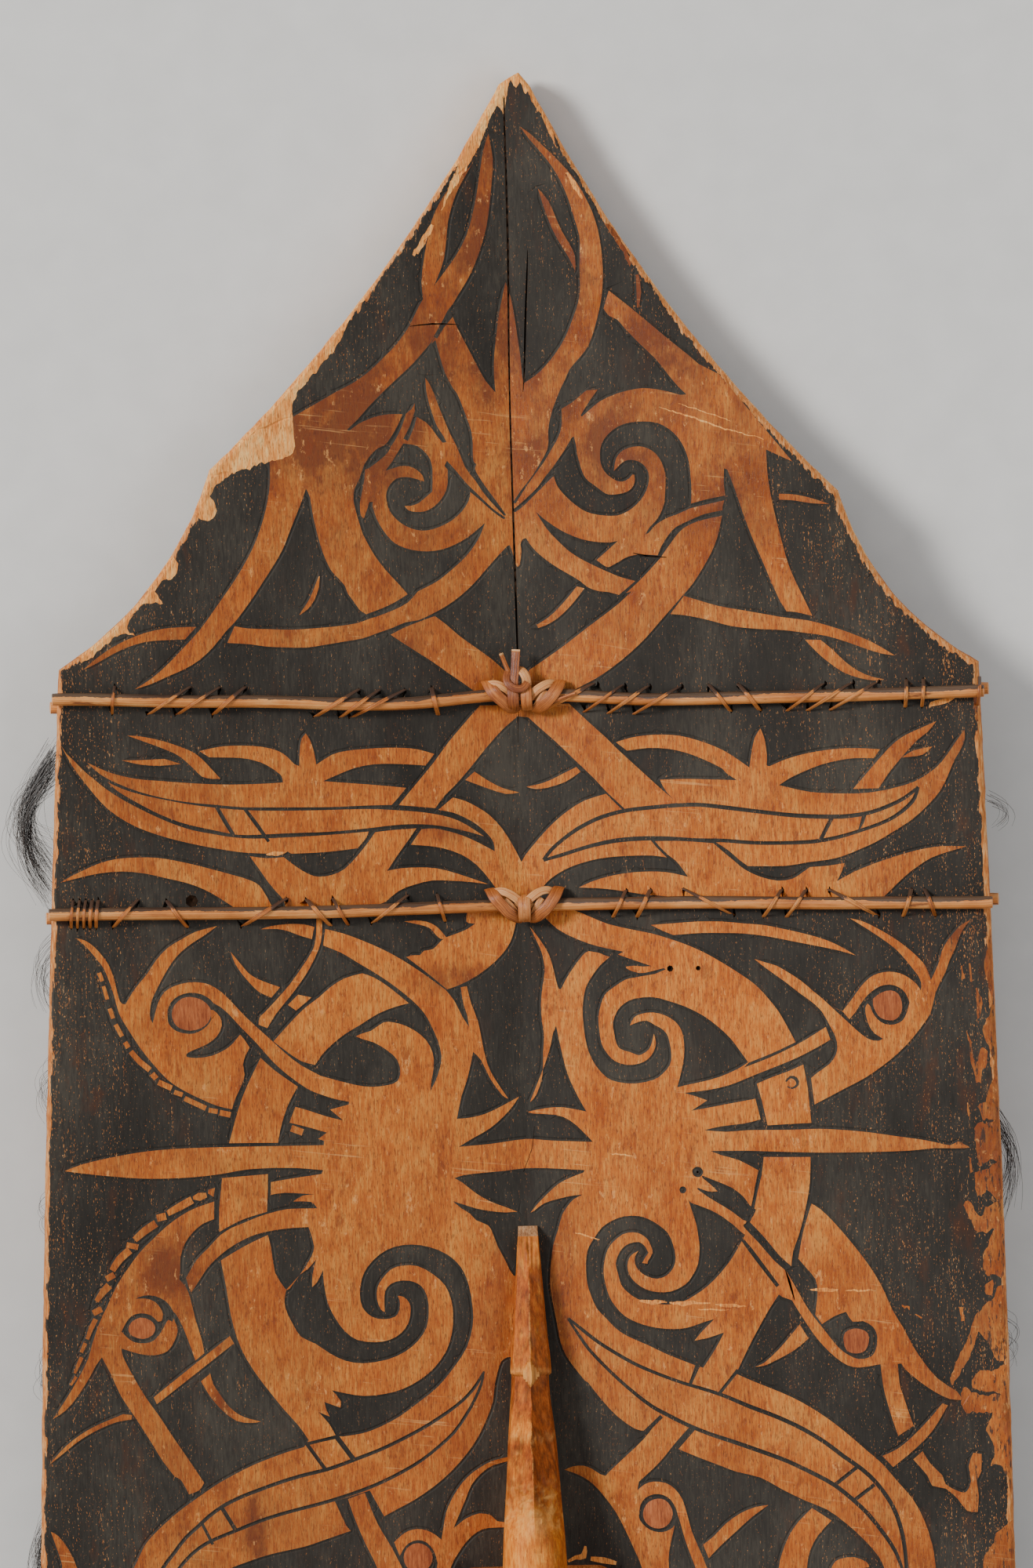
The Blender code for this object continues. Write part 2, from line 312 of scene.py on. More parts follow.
# Each plaited knot, strip by strip: width, tone, and points as (across, along and up from the cane).
KNOTS = {
    "inner": (
        (3.6, 0.85, ((0.3, -1.5, 2.6), (3.4, 2.2, 3.3), (6.8, 4.7, 3.0), (10.2, 5.6, 1.9), (13.0, 4.6, 0.4))),
        (3.6, 0.85,
         ((2.3, -1.5, 2.6), (-1.4, 2.2, 3.3), (-5.2, 4.7, 3.0), (-8.4, 5.4, 1.9), (-11.6, 4.4, 0.4))),
        (2.6, 0.75,
         ((8.2, 2.4, 2.4), (7.2, 1.0, 2.9), (5.6, -2.0, 2.6), (4.4, -4.4, 1.2), (3.6, -5.2, -0.5))),
        (2.6, 0.75,
         ((-6.4, 2.0, 2.4), (-5.0, 0.8, 2.9), (-2.8, -1.8, 2.6), (-1.4, -4.2, 1.2), (-0.6, -5.2, -0.5))),
        (
            4.7,
            0.25,
            (
                (15.2, 6.4, -1.4),
                (14.6, 5.8, 0.8),
                (13.4, 3.4, 3.5),
                (11.2, 0.2, 4.3),
                (8.4, -2.9, 3.6),
                (5.4, -5.0, 1.6),
                (2.6, -5.6, -0.6),
            ),
        ),
        (
            4.7,
            0.25,
            (
                (-12.2, 6.2, -1.4),
                (-11.6, 5.6, 0.8),
                (-10.2, 3.2, 3.5),
                (-7.8, 0.2, 4.3),
                (-4.8, -2.7, 3.6),
                (-1.8, -4.8, 1.6),
                (1.0, -5.6, -0.6),
            ),
        ),
        (
            5.1,
            0.6,
            (
                (1.3, 3.4, 0.6),
                (1.3, 2.6, 3.4),
                (1.3, 0.6, 4.7),
                (1.3, -2.0, 4.9),
                (1.3, -4.6, 3.6),
                (1.3, -6.0, 0.8),
                (1.3, -6.1, -1.2),
            ),
        ),
    ),
    "outer": (
        (3.6, 0.85,
         ((5.0, -1.5, 2.6), (7.2, 0.8, 3.3), (10.4, 2.9, 3.2), (13.2, 3.8, 2.2), (15.6, 3.4, 0.4))),
        (3.6, 0.85,
         ((-1.0, -0.6, 2.6), (-3.4, 1.6, 3.3), (-6.4, 3.2, 3.2), (-9.2, 3.9, 2.2), (-11.8, 3.2, 0.4))),
        (2.6, 0.75,
         ((11.8, 0.8, 2.4), (10.4, -0.8, 2.9), (8.4, -3.6, 2.6), (7.0, -5.6, 0.8), (6.4, -6.0, -0.8))),
        (
            4.8,
            0.35,
            (
                (17.4, 4.6, -1.4),
                (17.0, 4.0, 0.8),
                (15.8, 1.8, 3.4),
                (13.8, -1.0, 4.2),
                (11.4, -3.6, 3.6),
                (8.6, -5.8, 1.6),
                (6.4, -6.6, -0.6),
            ),
        ),
        (
            4.9,
            0.3,
            (
                (-11.8, 5.0, -1.4),
                (-11.2, 4.4, 0.8),
                (-9.6, 1.6, 3.5),
                (-7.2, -1.2, 4.3),
                (-4.4, -3.6, 3.6),
                (-1.8, -5.6, 1.6),
                (0.6, -6.2, -0.6),
            ),
        ),
        (4.4, 0.5, ((3.6, 3.8, 1.4), (3.7, 1.6, 4.2), (3.8, -1.4, 4.8), (3.9, -4.2, 3.8), (4.0, -6.0, 0.6))),
        (4.4, 0.12,
         ((-1.6, 4.2, 1.6), (-1.5, 1.8, 4.4), (-1.4, -1.4, 5.0), (-1.3, -4.2, 4.0), (-1.2, -6.2, 0.6))),
        (3.5, 0.05,
         ((-0.6, 1.2, 3.4), (-0.9, 4.0, 4.2), (-0.6, 8.0, 3.6), (-0.2, 13.0, 2.9), (0.1, 17.4, 2.4))),
        (1.9, 0.3, ((-2.2, 3.0, 2.2), (-2.9, 8.0, 2.4), (-4.4, 12.0, 1.6), (-6.0, 16.0, 1.2))),
        (
            3.0,
            0.08,
            (
                (-3.2, 8.6, 2.6),
                (-3.9, 6.4, 3.9),
                (-3.2, 3.8, 5.2),
                (-0.6, 2.0, 5.9),
                (2.4, 2.2, 5.6),
                (4.3, 4.2, 4.4),
            ),
        ),
        (3.8, 0.9, ((4.0, 3.4, 3.2), (3.8, 6.2, 4.0), (2.2, 8.8, 3.0), (0.0, 9.6, 1.4))),
        (1.4, 0.2, ((8.0, -6.2, 0.6), (12.0, -4.2, 2.4), (17.0, -2.2, 3.2), (23.0, -0.2, 3.4))),
    ),
}

# The tufts of hair: side, where it leaves the edge, where it ends, how far it bulges, how many hairs.
HAIR = (
    (-1, 359.0, 308.0, 9.0, 170),
    (-1, 352.0, 322.0, 13.0, 22),
    (-1, 286.0, 262.0, 4.0, 26),
    (-1, 240.0, 222.0, 3.0, 18),
    (-1, 188.0, 176.0, 4.0, 12),
    (-1, 128.0, 106.0, 6.0, 30),
    (-1, 70.0, 20.0, 9.0, 120),
    (1, 338.0, 326.0, 3.5, 10),
    (1, 210.0, 176.0, 3.0, 46),
    (1, 130.0, 118.0, 2.5, 12),
    (-1, -40.0, -90.0, 8.0, 110),
    (-1, -240.0, -286.0, 7.0, 90),
    (1, -60.0, -100.0, 4.0, 50),
    (1, -260.0, -300.0, 4.0, 40),
    (1, 30.0, -10.0, 4.0, 34),
)

# Pale scuffs where something hard rubbed across the figures.
SCUFFS = """
bare line 43,141.6,0.3 48,141.2,1.7 54,141,0.4
bare line 55,140.9,0.4 60,140.5,2 66,140.6,0.9 71,140,0.3
bare line 73,139.6,0.3 78,139.4,1.5 85,138.8,0.3
bare line 66,138.2,0.3 72,137.8,0.6 79,137.4,0.2
bare line 110,145.2,0.3 116,144.8,1.8 121,145,0.4
bare line 124,144.8,0.3 129,144.4,0.8 136,144.4,0.2
bare line 18.5,168.8,0.3 23,167.6,0.7 28,165.8,0.2
bare line 33,199.6,0.2 38,199.2,0.7 43,198.6,0.2
bare line 58,492.8,0.2 70,488.8,0.6 84,483.6,0.5 99,479.2,0.2
bare line 66,494,0.2 76,490.4,0.4 86,486.6,0.2
bare line -99.4,320.2,0.4 -96,320.6,2 -92.4,321,0.4
"""

# The figures of the back, above the middle, in the order they are painted. A figure is a colour, a kind
# and points, and goes on over lines that are set in: a shape has (across, along), and a line also has
# its width. A slash marks a corner. UPPER lies past the outer canes, MIDDLE between the canes, and LOWER
# from there to the middle.

UPPER = """
# ---- tip and upper mass
wood shape -6.5,602/ -8.5,596 -10,588 -11.5,579 -13.5,570 -16,562 -20,554.5 -24,549 -29,542.5 -33,538
  -36,533 -39,527 -44,520 -50,514 -56,508.5 -62,504.5 -68,501.5 -76,497 -85,492/ -64.3,486.5/ -56,495
  -50,501 -44,506.5 -38,512 -33,517.5 -29,522.5 -25,529 -22.5,534 -19.5,539 -16,544.5 -13,550.5 -10.5,557
  -8,565.5 -6.5,575 -5.5,584 -5,592
wood shape -11.5,593/ -14,589 -18,585.5 -22,581 -26,575.5 -29.5,568 -31.5,560 -33,552 -34,544 -33.5,537/
  -30,541 -27.5,546 -25,553 -24,560 -23,568 -21,575 -18.5,581 -15,587
wood shape 6,604.5/ 10,601.5 14,597.5 19,592.5 24,587 28,581.5 31,576 33.5,570.5 35.5,564 36.8,556 37.3,548
  37,540 36,533.5 33.5,524 31,517.5 27.5,513 23.5,508.5 21.5,504 20,499 18.5,494 16.5,490 14.5,484/ 6,500/
  5.5,503.5/ 9.5,506 14,510 18.5,515.5 22,521 25,528 27.5,535 28.3,541 28.2,548 28.5,556 28.4,561 26.5,568
  24.5,575 22,581.5 18.5,588 14.5,593.5 9.5,599.5
wood shape 12.5,580/ 14.5,573 17.5,564.5 20.5,558.5 24,552.5 26.5,547/ 26.5,553 24.3,558 21.5,563 19,569
  16.5,575
wood line 50.8,545,1.2 51.3,538,1.8 50.7,532,0.6
# left wood mass with its leg and the middle mass
wood shape -85,492/ -76,497/ -60,493/ -50,500/ -42,495/ -30,521/ -22,530/ -20.5,526/ -18,521 -15,515 -12,509
  -9.5,504.5 -5.8,500/ -6.3,507 -6,515 -5,523 -4,530 -2.5,537 -1,543.5/ 1,537 2.2,530 3.2,522 4.2,514
  4.8,506 5.5,503/ 20,495/ 30,500/ 45,501/ 62,500/ 69,497.5/ 66,500.5 62,505.5 57.5,511.5 51,518 45.5,524
  42.5,527.6 39.5,529 37.3,532/ 39.5,539/ 48,532 56,525 64,518 70,513 74,509.3/ 82,505/ 110,470/ 99.8,475/
  100,468 100.5,462 101.8,454 103.5,446 105.5,437.5 107.5,430 110,423.5 113,417 116.5,409.3/ 110,411
  106.5,411.3/ 104,415.5 101,422.5 97,432.5 93.5,441 90,451 87,460.5 84.5,467.5/ 83.2,468/ 83,462 83.5,457/
  82.3,453/ 82.2,450 81.5,447 80,441 77.5,435 74,429 70,423 66,418.5 61,413 56,407.5 51,402 45,396.5 38,391
  31,386.5 24,383 12,376/ 2,381/ 5,390.5/ 12,395 20,400.5 28,406.5 35,411.5 41,416 46,420.5/ 41,419.3/
  37,420.5 33,421 29,422.5 26,425 23,427 18,430 13,433.5 9,437 6.5,440 5,442.5/ 3.5,442 2.7,440/ 3,437
  2.2,432 1.2,431.3/ 0.5,433 -0.5,437 -1.5,440/ -2.5,439.5/ -6,436 -11,430.5 -16,425 -21,420.5 -27,416.3
  -33,413.2 -38,411 -43,410.3 -48,408.3 -54,406.3 -60,404.3 -67,403.2 -75,402 -82,401.1 -90,401.3 -98,401.8
  -104,402.8 -113,403.5/ -110,410/ -105,409 -97,408.6 -88,408.2 -80,408.5 -70,409.2 -62,410.3 -57,412/
  -58.5,413.8/ -61,415.5 -63,418.5 -65.5,422 -66.5,425 -69,428 -72,431.5 -75,438.5 -77,446 -78.5,453
  -79.5,460 -81,463.5/ -83,458 -85.5,452 -88,446 -90.5,440 -94,434 -98,428 -102,422 -106,416.5 -110,411.5
  -113.5,408 -118.5,402 -124,397 -130,393.5 -136,391 -143,388 -149.5,386/ -143,390 -137,395 -130,402
  -123,409.5 -117.5,417 -112,424.5 -107,432 -102.5,440 -99.5,447 -97,455 -95.5,462 -95,468 -95,475/
  -125,468/ -100,485/
# black islands of the left side
black shape -29,521/ -33,517.5 -38,512 -44,506.5 -50,501 -56,495 -60,490.5 -64.3,486.5/ -63.5,486 -60,488.5
  -56,490.3 -52,491.6 -47,492.2 -41.5,492/ -39,494 -37.6,496.5/ -37.8,494 -37,491/ -33.5,488.8 -31,486
  -29,483 -27,480.6/ -25.5,480.8/ -26.5,483 -29,487 -30.5,491 -32,496 -33,501 -33.3,506.3/ -31.8,504 -30,500
  -28.5,495.5 -26,489 -24,484 -22,480 -20,475 -18.5,471 -16.5,468 -14.5,465.5 -12,461.5 -8.5,457 -3.5,451.5/
  -2.8,452 -5.5,456 -8,459.5 -10.5,463 -13,467 -14.5,470 -13.9,472/ -15,473 -15.3,476 -15.2,480 -15.7,485
  -17.3,490 -19,495 -21,500 -22.5,502 -25.5,508 -27.5,515
black line -41.8,492.3,1.2 -43.7,487.5,1.7 -46.5,482.5,2 -49,479.3,2.2 -52,477.5,3
black line -37.2,493,1.2 -38.8,487.5,1.7 -41.5,482,2
black line -19,530.5,2.4 -21.5,534,2.2 -25,528.5,2 -29,522,1.6
black shape -49.7,470/ -47,473.5 -44.5,477.5 -42.5,480.6/ -40.5,480.3 -37,479.5 -34,477 -32,474 -31.2,470
  -31.3,466 -31.5,461.5/ -33,460.2 -35,458.5 -37,457 -40,456 -42.5,456/ -41,454.3 -38,453.6 -34.5,453.8
  -31,455.5 -28,458.5 -26,462 -25.3,466 -25.3,470/ -26.5,471.5/ -25.5,473.5/ -22,469.5 -18,464.5 -14,460.5
  -8,454.5 -3,450.8/ -3.8,450.2 -8,453.3 -12,457 -16.5,461/ -17.3,457.5 -20,453.5 -24,450 -29,447.5
  -34,446.2 -38,446.5 -42,448 -45.5,450.5 -48.3,454 -49.5,458 -49.5,461.5 -48,464.5 -45.5,466.8 -42,467.4
  -38.5,466.8 -34.6,465.5/ -35.3,468 -37.5,470.2 -40.5,471.6 -44,471.7 -47,470.8
black shape -49,480.3/ -53,478.5 -56,475.5 -58,472.5/ -60,467 -62,463 -62.5,459 -61.8,455 -60.5,450 -59,445
  -57,441 -54.5,436.5 -50.5,431 -46,426 -42,421.3/ -47,418.3 -52,416 -58,413.9/ -62,411 -55,412.5/ -48,415
  -42,418 -38,422.3/ -33,424.7 -29,427 -24,431 -19,435.5 -15,440.5 -12.5,445 -11,448.8/ -14,446.3 -18,443.2
  -23,440.5 -28,438.7 -34,438 -40,438.7 -45,440.5 -48,442.7 -51,446.5 -53.5,451 -55,456 -54.8,457.8/
  -56.3,457.8/ -57,455.5 -58.5,451.5/ -59.7,452.5 -60,457 -59,462 -58,467 -57.7,470.5/ -56,471.2/ -53,473.3
  -50,475.7 -47.5,479
# black islands of the right side
black shape 37,531.8/ 39.5,529 42.5,527.6 45.5,524 51,518 57.5,511.5 62,505.5 65.5,501 69,497.5/ 66.5,497.3
  62,498.7 57,499.8 52,500.3 47,499.7 42,498.5 38,497 35,495.5 33,494 30,491.5 28,489.8/ 27.5,490.4
  29.5,493.5 31.5,496.5 35,501 39,505.8 43,511 46.8,517 47.2,519.5 45.8,520.6 44.2,519 41.5,513.8 37.5,508
  33,503 28,498.5 24,495.3 20,493/ 20,488 19.3,484 17.5,480 15,476 12.5,472 9,467.5 5,462 1.2,456.2/
  0,456.5/ 3.5,461.5 8,467 11.5,472.5 14,477 14.6,481 14.5,484 15.3,489 16.5,493 18.5,498 20,501.5
  23.5,507.5 27.5,512.5 31,517.5 34,525
black shape 16.5,466.3/ 17.5,463 20,459.5 23,456.5 27,453.3 31,451.5 36,450.6 41,450.5 45,452 48.5,454.5
  51.5,458 53.3,462 53.8,465.5 53,468.5 51,470.8 48.5,472 45.5,472.2 43,471 41,469 40,468/ 40.3,470 41,473
  43,475.5 46,477 50,477.5 53.5,476.6 56.5,474.5 58.8,471 60.2,466 60,460 59.5,455 58,451 56,448 53.5,445.5
  51.8,442.8/ 53.2,443.4 55.5,446 58,447.8 61,449.3 64,450.2 67,451.5 69.5,452.6/ 75,453.8 83.3,455.5/
  83.3,457.3/ 76,456 70,454.5/ 70.3,460 70,466 69.5,471 68,476 65.5,480.5 62,484 57.5,486.5 52.5,487.2
  47,487 42,485.5 38,482.5 35.5,479 34.7,475 35,471 36.3,468 38.5,465.8 41,464.2 43.5,463.8 46,465
  47.3,466.5/ 48,466.3/ 48.2,464.5 47.5,462 45.5,460 42,459 38,458.8 35.5,460 33,462 30,464.3 28.3,466.5
  27,470 25.8,475 25.3,479 24.6,482/ 23.5,481.2 21,477 18.5,473.5 16,470 13,466.5 10,462.5 5,457.8 0.3,454/
  1,452.8 5,455.8 8.5,459.2 12,462.5 15.8,466.2
black shape 9,452.8/ 12,450 16,447 21,444 27,441.5 33,440.3 38,440 41,440.5/ 37,437 32.5,433.2/ 36,430.6
  38,430.6 41.5,432.5 45,434.3 50,435 56.5,434.5/ 58,438 61,442.5 64,445.5 69,447.8 75,450.2 82.5,451.6/
  82.4,449.6 78,448.7 72,447.3 67,445 63.5,441.5 60.5,437.5 57.5,433.3/ 53,428.5 49,424.5/ 42,418.5
  41,419.3/ 47.5,424.6/ 42,426.2 36,428.8 30,431.8 25,434.6 21,437.6 17,441.6 13,446.2
# right side, thin bands and leaves below the mass
wood shape 66.5,418.3/ 72,416.5 80,414 90,412 100,410 105,409 115,407.5 122,405.5 128,403.5 133,401.5
  138,399.3 143,396.5 148.5,393/ 143,394 137,396 130,398.7 122,401.3 115,402.5 105,404 95,404.7 85,406
  78,408 72,409.6 66,410.8 61,411.3/
wood shape 113.5,400/ 119.5,399.8/ 124,396 129,391 134,387.3 139,385 144,383.8/ 140,383.5 134.5,384.5
  128,387 122.5,391 118,395
wood shape 104.5,457.5/ 111,457 118,455.2 124,453/ 117,453.5 110,454.8 104.5,455.2/
wood shape 8.5,408.3/ 13,411 17,414.5 21,418.8 24.5,423/ 27.5,422.2/ 25,419 21,414.5 16.5,410.5 12,408
  9,407/
# left side below the mass
wood shape -125,410/ -131,410 -138,409.5 -145,408 -152,405.5 -158,402.5 -164,398.5 -169.5,394/ -164,396.5
  -158,399.8 -152,402.5 -145,404.5 -138,405 -129.5,405.2/
wood line -76.5,429,0.4 -77.5,425,1.6 -79.5,420,1.9 -82,416.5,1.5 -84.5,414,0.3
wood shape -49,405.5/ -44,408 -38,410.3 -31.5,412.5/ -27,409 -22,404.5 -16,400 -10,395.5 -5,391 0,386/
  0,378/ -12,379/ -21,386 -26,389.5 -32,394 -38,398 -44,402
"""


MIDDLE = """
# ---- between the upper pair of canes, left
wood shape -152.9,368/ -148.5,367.6 -143.2,366.6 -138,365.2 -132.2,363.1 -127.5,361 -124,358.3 -120.6,354.6
  -116.8,350.3/ -120,350.3 -124,351.3 -127,354.3 -130.4,357.6 -134.5,360.6 -142,363.8
wood shape -155.2,358.3/ -148,358.2 -138.5,358.5/ -132,356.4/ -140.3,355.9 -148,356.5
wood shape -168.6,357.7/ -160,353.6 -149.6,350.9 -141.5,350 -127.5,348.7 -113.6,347.9 -99.6,348 -92.4,348.3/
  -93.2,351.3 -98.5,355.2 -103.1,357.1 -108.9,358.3 -121,358.8/ -124.8,361.3/ -120,362.3 -115,363 -108,363.1
  -100,362.4 -94,360.7 -90.5,358.3 -87.8,355.4/ -85.9,354.6/ -85.6,360 -84.9,364.8 -83.1,367.4/ -81.5,364.8
  -80,360 -79.2,355/ -73,358.8 -67.2,360.2 -60.2,360.8 -52.1,361.1 -45.1,360.9 -39.3,360.2 -32.9,358.3/
  -36.4,353.8/ -41.6,354.3 -50,354.8 -57,354.7 -64,353.5 -70,351.3 -76.7,348.5/ -69.5,347.8 -56.7,346.6
  -44.2,345.2/ -47.4,341.4 -50,338.6/ -60,338.6 -75,338.3 -99.6,338.7 -108.9,339 -118,340 -129.9,341.4
  -140,343.4 -149,346 -157,349.3 -163.5,352.9
wood shape -160.9,349.9/ -155.4,347.2 -149,345 -141.5,343.1 -126.4,340 -106.6,337.7 -83.3,337.1 -60,337.2
  -48.6,336.5 -40,335.7 -33.5,334.7 -27,333.1 -21,330.3 -14,325.5/ -20,327.4 -27.7,329.3 -34,330.4 -42,330.9
  -50,330.6 -60,329.6 -75,328.6 -89.2,328.4 -106.6,328 -113,328.6 -119,330 -126,331.6 -133,333.6 -140,336.5
  -146,339.6 -152,343.1 -157,346.3
wood shape -178.7,364.7/ -176.6,361.3 -174,358.8 -170,354.5 -166,351 -161,346.8 -155,342.8 -149,339.4
  -142,335.8 -135,332.7 -128,330.3 -121,328.8 -112.4,327.2 -104,326.5 -92,326.7 -80,327.1 -68.4,327.7
  -59.3,328.3/ -60.3,325.8 -63.7,321.9/ -72,321 -80,320.5 -89.7,320.3/ -91.1,321.2/ -92.7,320.3/ -106.6,321
  -117,322.6 -127,324.7 -137,327.3 -146,330.4 -153.5,334 -161.3,339.7 -168.2,347.8 -174.5,356.6
black line -118.8,339.9,1.5 -115.4,333.5,1.6 -112.2,328.2,1.5
black line -107.6,338.3,1.3 -103,332,1.6 -98.4,325.2,1.2
# lower left leaf and mass
wood shape -180.1,310.9/ -176,313.2 -171.7,315.2 -165,318 -158,319.7 -150,320.1 -142,319.8 -134,318.3
  -126,316.3 -113.6,312.7 -105.5,310 -101.5,306.8 -97.3,299/ -111.5,299/ -118.2,303.6 -124,307 -131,309.8
  -139,311.8 -147,313.8 -156,314.8 -165,314.2 -173,312.6
wood shape -106,319.7/ -99.6,318.7 -92.7,319/ -88,315.2 -83,312.1 -79,311 -74,311.6 -69,313.8 -64,318.7
  -60,323.5 -56.7,328/ -49.8,328.7 -40.5,329.2/ -43.5,325 -48,319 -52.3,312.7/ -47,313.6 -40,313.8 -33,313.3
  -25,311.1 -12.6,306.6/ -20,307.7 -27,308.3 -34.7,308.6 -41.6,307.1 -48,304.7 -56.2,298/ -92.4,298/ -93,302
  -96.1,305.7 -99,309.4 -102.5,314.7
# centre
wood shape -38.5,328.8/ -33.5,329 -28,327.8 -22,325.8 -16,322.9 -9.9,319.5/ -10.3,323 -12.5,326.3
  -16.6,330.1 -21.3,333 -26,335.1 -31.7,336.3/ -25.9,341/ -21,339.5 -16,336.8 -11.5,333.6 -7,328.6
  -3.8,323.5 -1.5,319.3 0.5,315/ 2,317.6 5.5,321.8 9.5,326.3 14,330.7 19.4,335 26,338.8 34.3,341.2/
  38.6,336.7 41.2,334.2/ 35.7,332.7 29,330.3 22.9,327.2 17.1,323.4 12.4,319.2 9.3,316/ 9.5,315.2/ 16,316.6
  22.9,318.7 29,320.3 36,321.6 43,322.3 51.5,322.5/ 53.7,319.7 57.6,315.7/ 52,316.6 45,316.7 38,316.5
  31,315.8 24.1,314.2 18,312 12.4,308.7 9,305.4 7,302/ 7,299/ -10,299/ -8.7,303.4/ -12,308.2 -17,314.2
  -23,318.5 -30,321.1 -36,322.2 -42.8,322.8/
wood shape -14.5,377/ -18.4,372.8 -23,367.6 -27.1,362.9 -33.5,354.5 -38.7,348.4 -42.8,343.7 -47.2,338.5/
  -32.9,337/ -29,342 -24.8,346 -19,352.4 -12,360.8 -5.6,367.6 -0.3,372 0.3,372.4 4.3,372/ 9,367.6 14.8,362.3
  20,357.1 29.9,347.2 34.5,342 41.5,335.2/ 49.7,335.9 62.4,337.1/ 57,341.7 50,348.3 44,354 38.6,359.2
  34.5,363.5 28,369.6 20.5,377/
wood shape -20.9,347.8/ -17.2,351/ -12,347.4 -6,344.2 0.2,342.5/ -5,342 -12.6,344.5
wood shape 3.1,344.6/ 7.8,345.5 12.4,347 18,349.7 22.9,352/ 24.5,350.1/ 18.5,346.3 11.3,344.1 6.6,343.7
# right fan
wood shape 38.6,361.4/ 43.8,362.9 49.7,363.8 56.6,364 63.6,363.4 70.6,361.5 77.6,358.8 83.4,355.6
  90.7,350.3/ 91.6,356 93,362 95.3,365.6/ 96.8,361.5 97.6,355 97.4,351.3/ 98.6,350.7 103.3,352.7 109.1,354.5
  114.9,355.7 121.9,356.7 128.8,357.1 135.8,356.9 141.8,356.4/ 139.3,353/ 132.3,353.2 126.5,352.6 119,351
  112,348.4 106,345.7 102.1,343.2/ 106.7,342 114,340.3 122,339.6 133.5,339.3 141,340 148,341.4 155,343.5
  161.4,347.2 166,351.3 171.9,359.4 174.8,363.4/ 174.9,359.8 173,355.3 170.7,351.7 168,345.5 164.9,339.7
  160.2,334.4 153.5,328.5 145.1,323.4 139.3,320.1 133.5,317.6 126.5,314.9 120.7,313.6 113,312.8 104,311.5
  89.3,311.7/ 86,314.2 82,317.9 77,321.3/ 60,322.6 45,323.2 30,321.4 9.3,316/ 17.1,323.7 23,327.8 30,331.2
  42.1,334.4 56.6,335.7 63,336.2/ 58,341.5 55.5,346.3/ 64.8,346.4 70.6,346.2 85.7,345.5/ 81.6,348.4
  79.9,350.3 75.2,352.8 70,355.2 65,357 59,358.4 51,358.9 42.9,358/
black line 9.2,315.7,1.4 12.4,319.7,1.5 17.1,323.7,1.5 22.9,327.7,1.6 29.9,331.2,1.6 35.7,333.1,1.6
  42.1,334.5,1.6 49.7,335.3,1.6 60,336,1.6 70,336.2,1.6 80,335,1.7 94,333,1.6 107.9,331.2,1.7
  121.9,330.4,1.8 130,330.6,1.7 138,331.9,1.6 145,334.3,1.6 151,337.2,1.5 156.5,341.3,1.3
black line 156.4,341.3,1.2 155,337.3,1.5 152.1,333.8,1.6 147,330,1.5 141,327.2,1.4 132,324.3,1.4
  124.2,322.2,1.5 115,320.8,1.6 103.3,320.5,1.5 91.6,320.8,1.5 80,321.9,1.5 69.4,322.3,1.5 58,323.3,1.4
  48,323.6,1.3 38,323,1.3 28.7,321.2,1.3 20,318.7,1.3 9.2,315.5,1.2
black line 122.4,329.9,1.7 119.8,325,1.6 117.6,320.8,1.5
black line 135.2,330.9,1.7 134.3,328,1.4 133,325.2,0.6
wood shape 53.1,322.2/ 64,322 76,320.9/ 79.9,317.3 84,313.8 88,310.4 94,307.4 100.9,305.7 106.7,306.4
  110.5,308.7 113.5,310.8/ 120.7,311.2 127.1,312.1/ 125.9,308.8 124,305.1/ 131.2,308.8 138.1,311.5
  145.1,313.8 152.1,315.8 159.1,317.3 166,318 174.8,317.7/ 168,315.9 161,313.6 155,309.9 149.8,305.9
  141.5,298/ 64,298/ 57.8,300.4 50.8,301 43.8,302.2 36.9,303.4 30,304.2 22.9,304.6/ 28,306.8 35,308.8
  44,310.1 54,310.2 60.1,309.4 65.8,307.9/ 63.6,311.2 61,314.5 57.8,317 54.9,320
wood shape 131,341.1/ 134,344.4 138.1,349 142.8,354.2 147.4,358.8 152.1,361.9 157.9,364.4 164,367/
  160.5,362.8 156.7,360 152.1,355.3 148.6,351.3 145.1,347.2 141,341.2/
wood shape 150.3,353/ 154,355.3 158,356.4 162.3,357.1/ 158.5,354 154,353.3
bare shape 161.2,372.6/ 162,374.5 166,375.5 172,376.3/ 169,374.3 165,373.2
black shape -56,299.6/ -50,301.2 -40,300.6 -25,301.8 -15,303 -17,300.5 -30,299/
"""


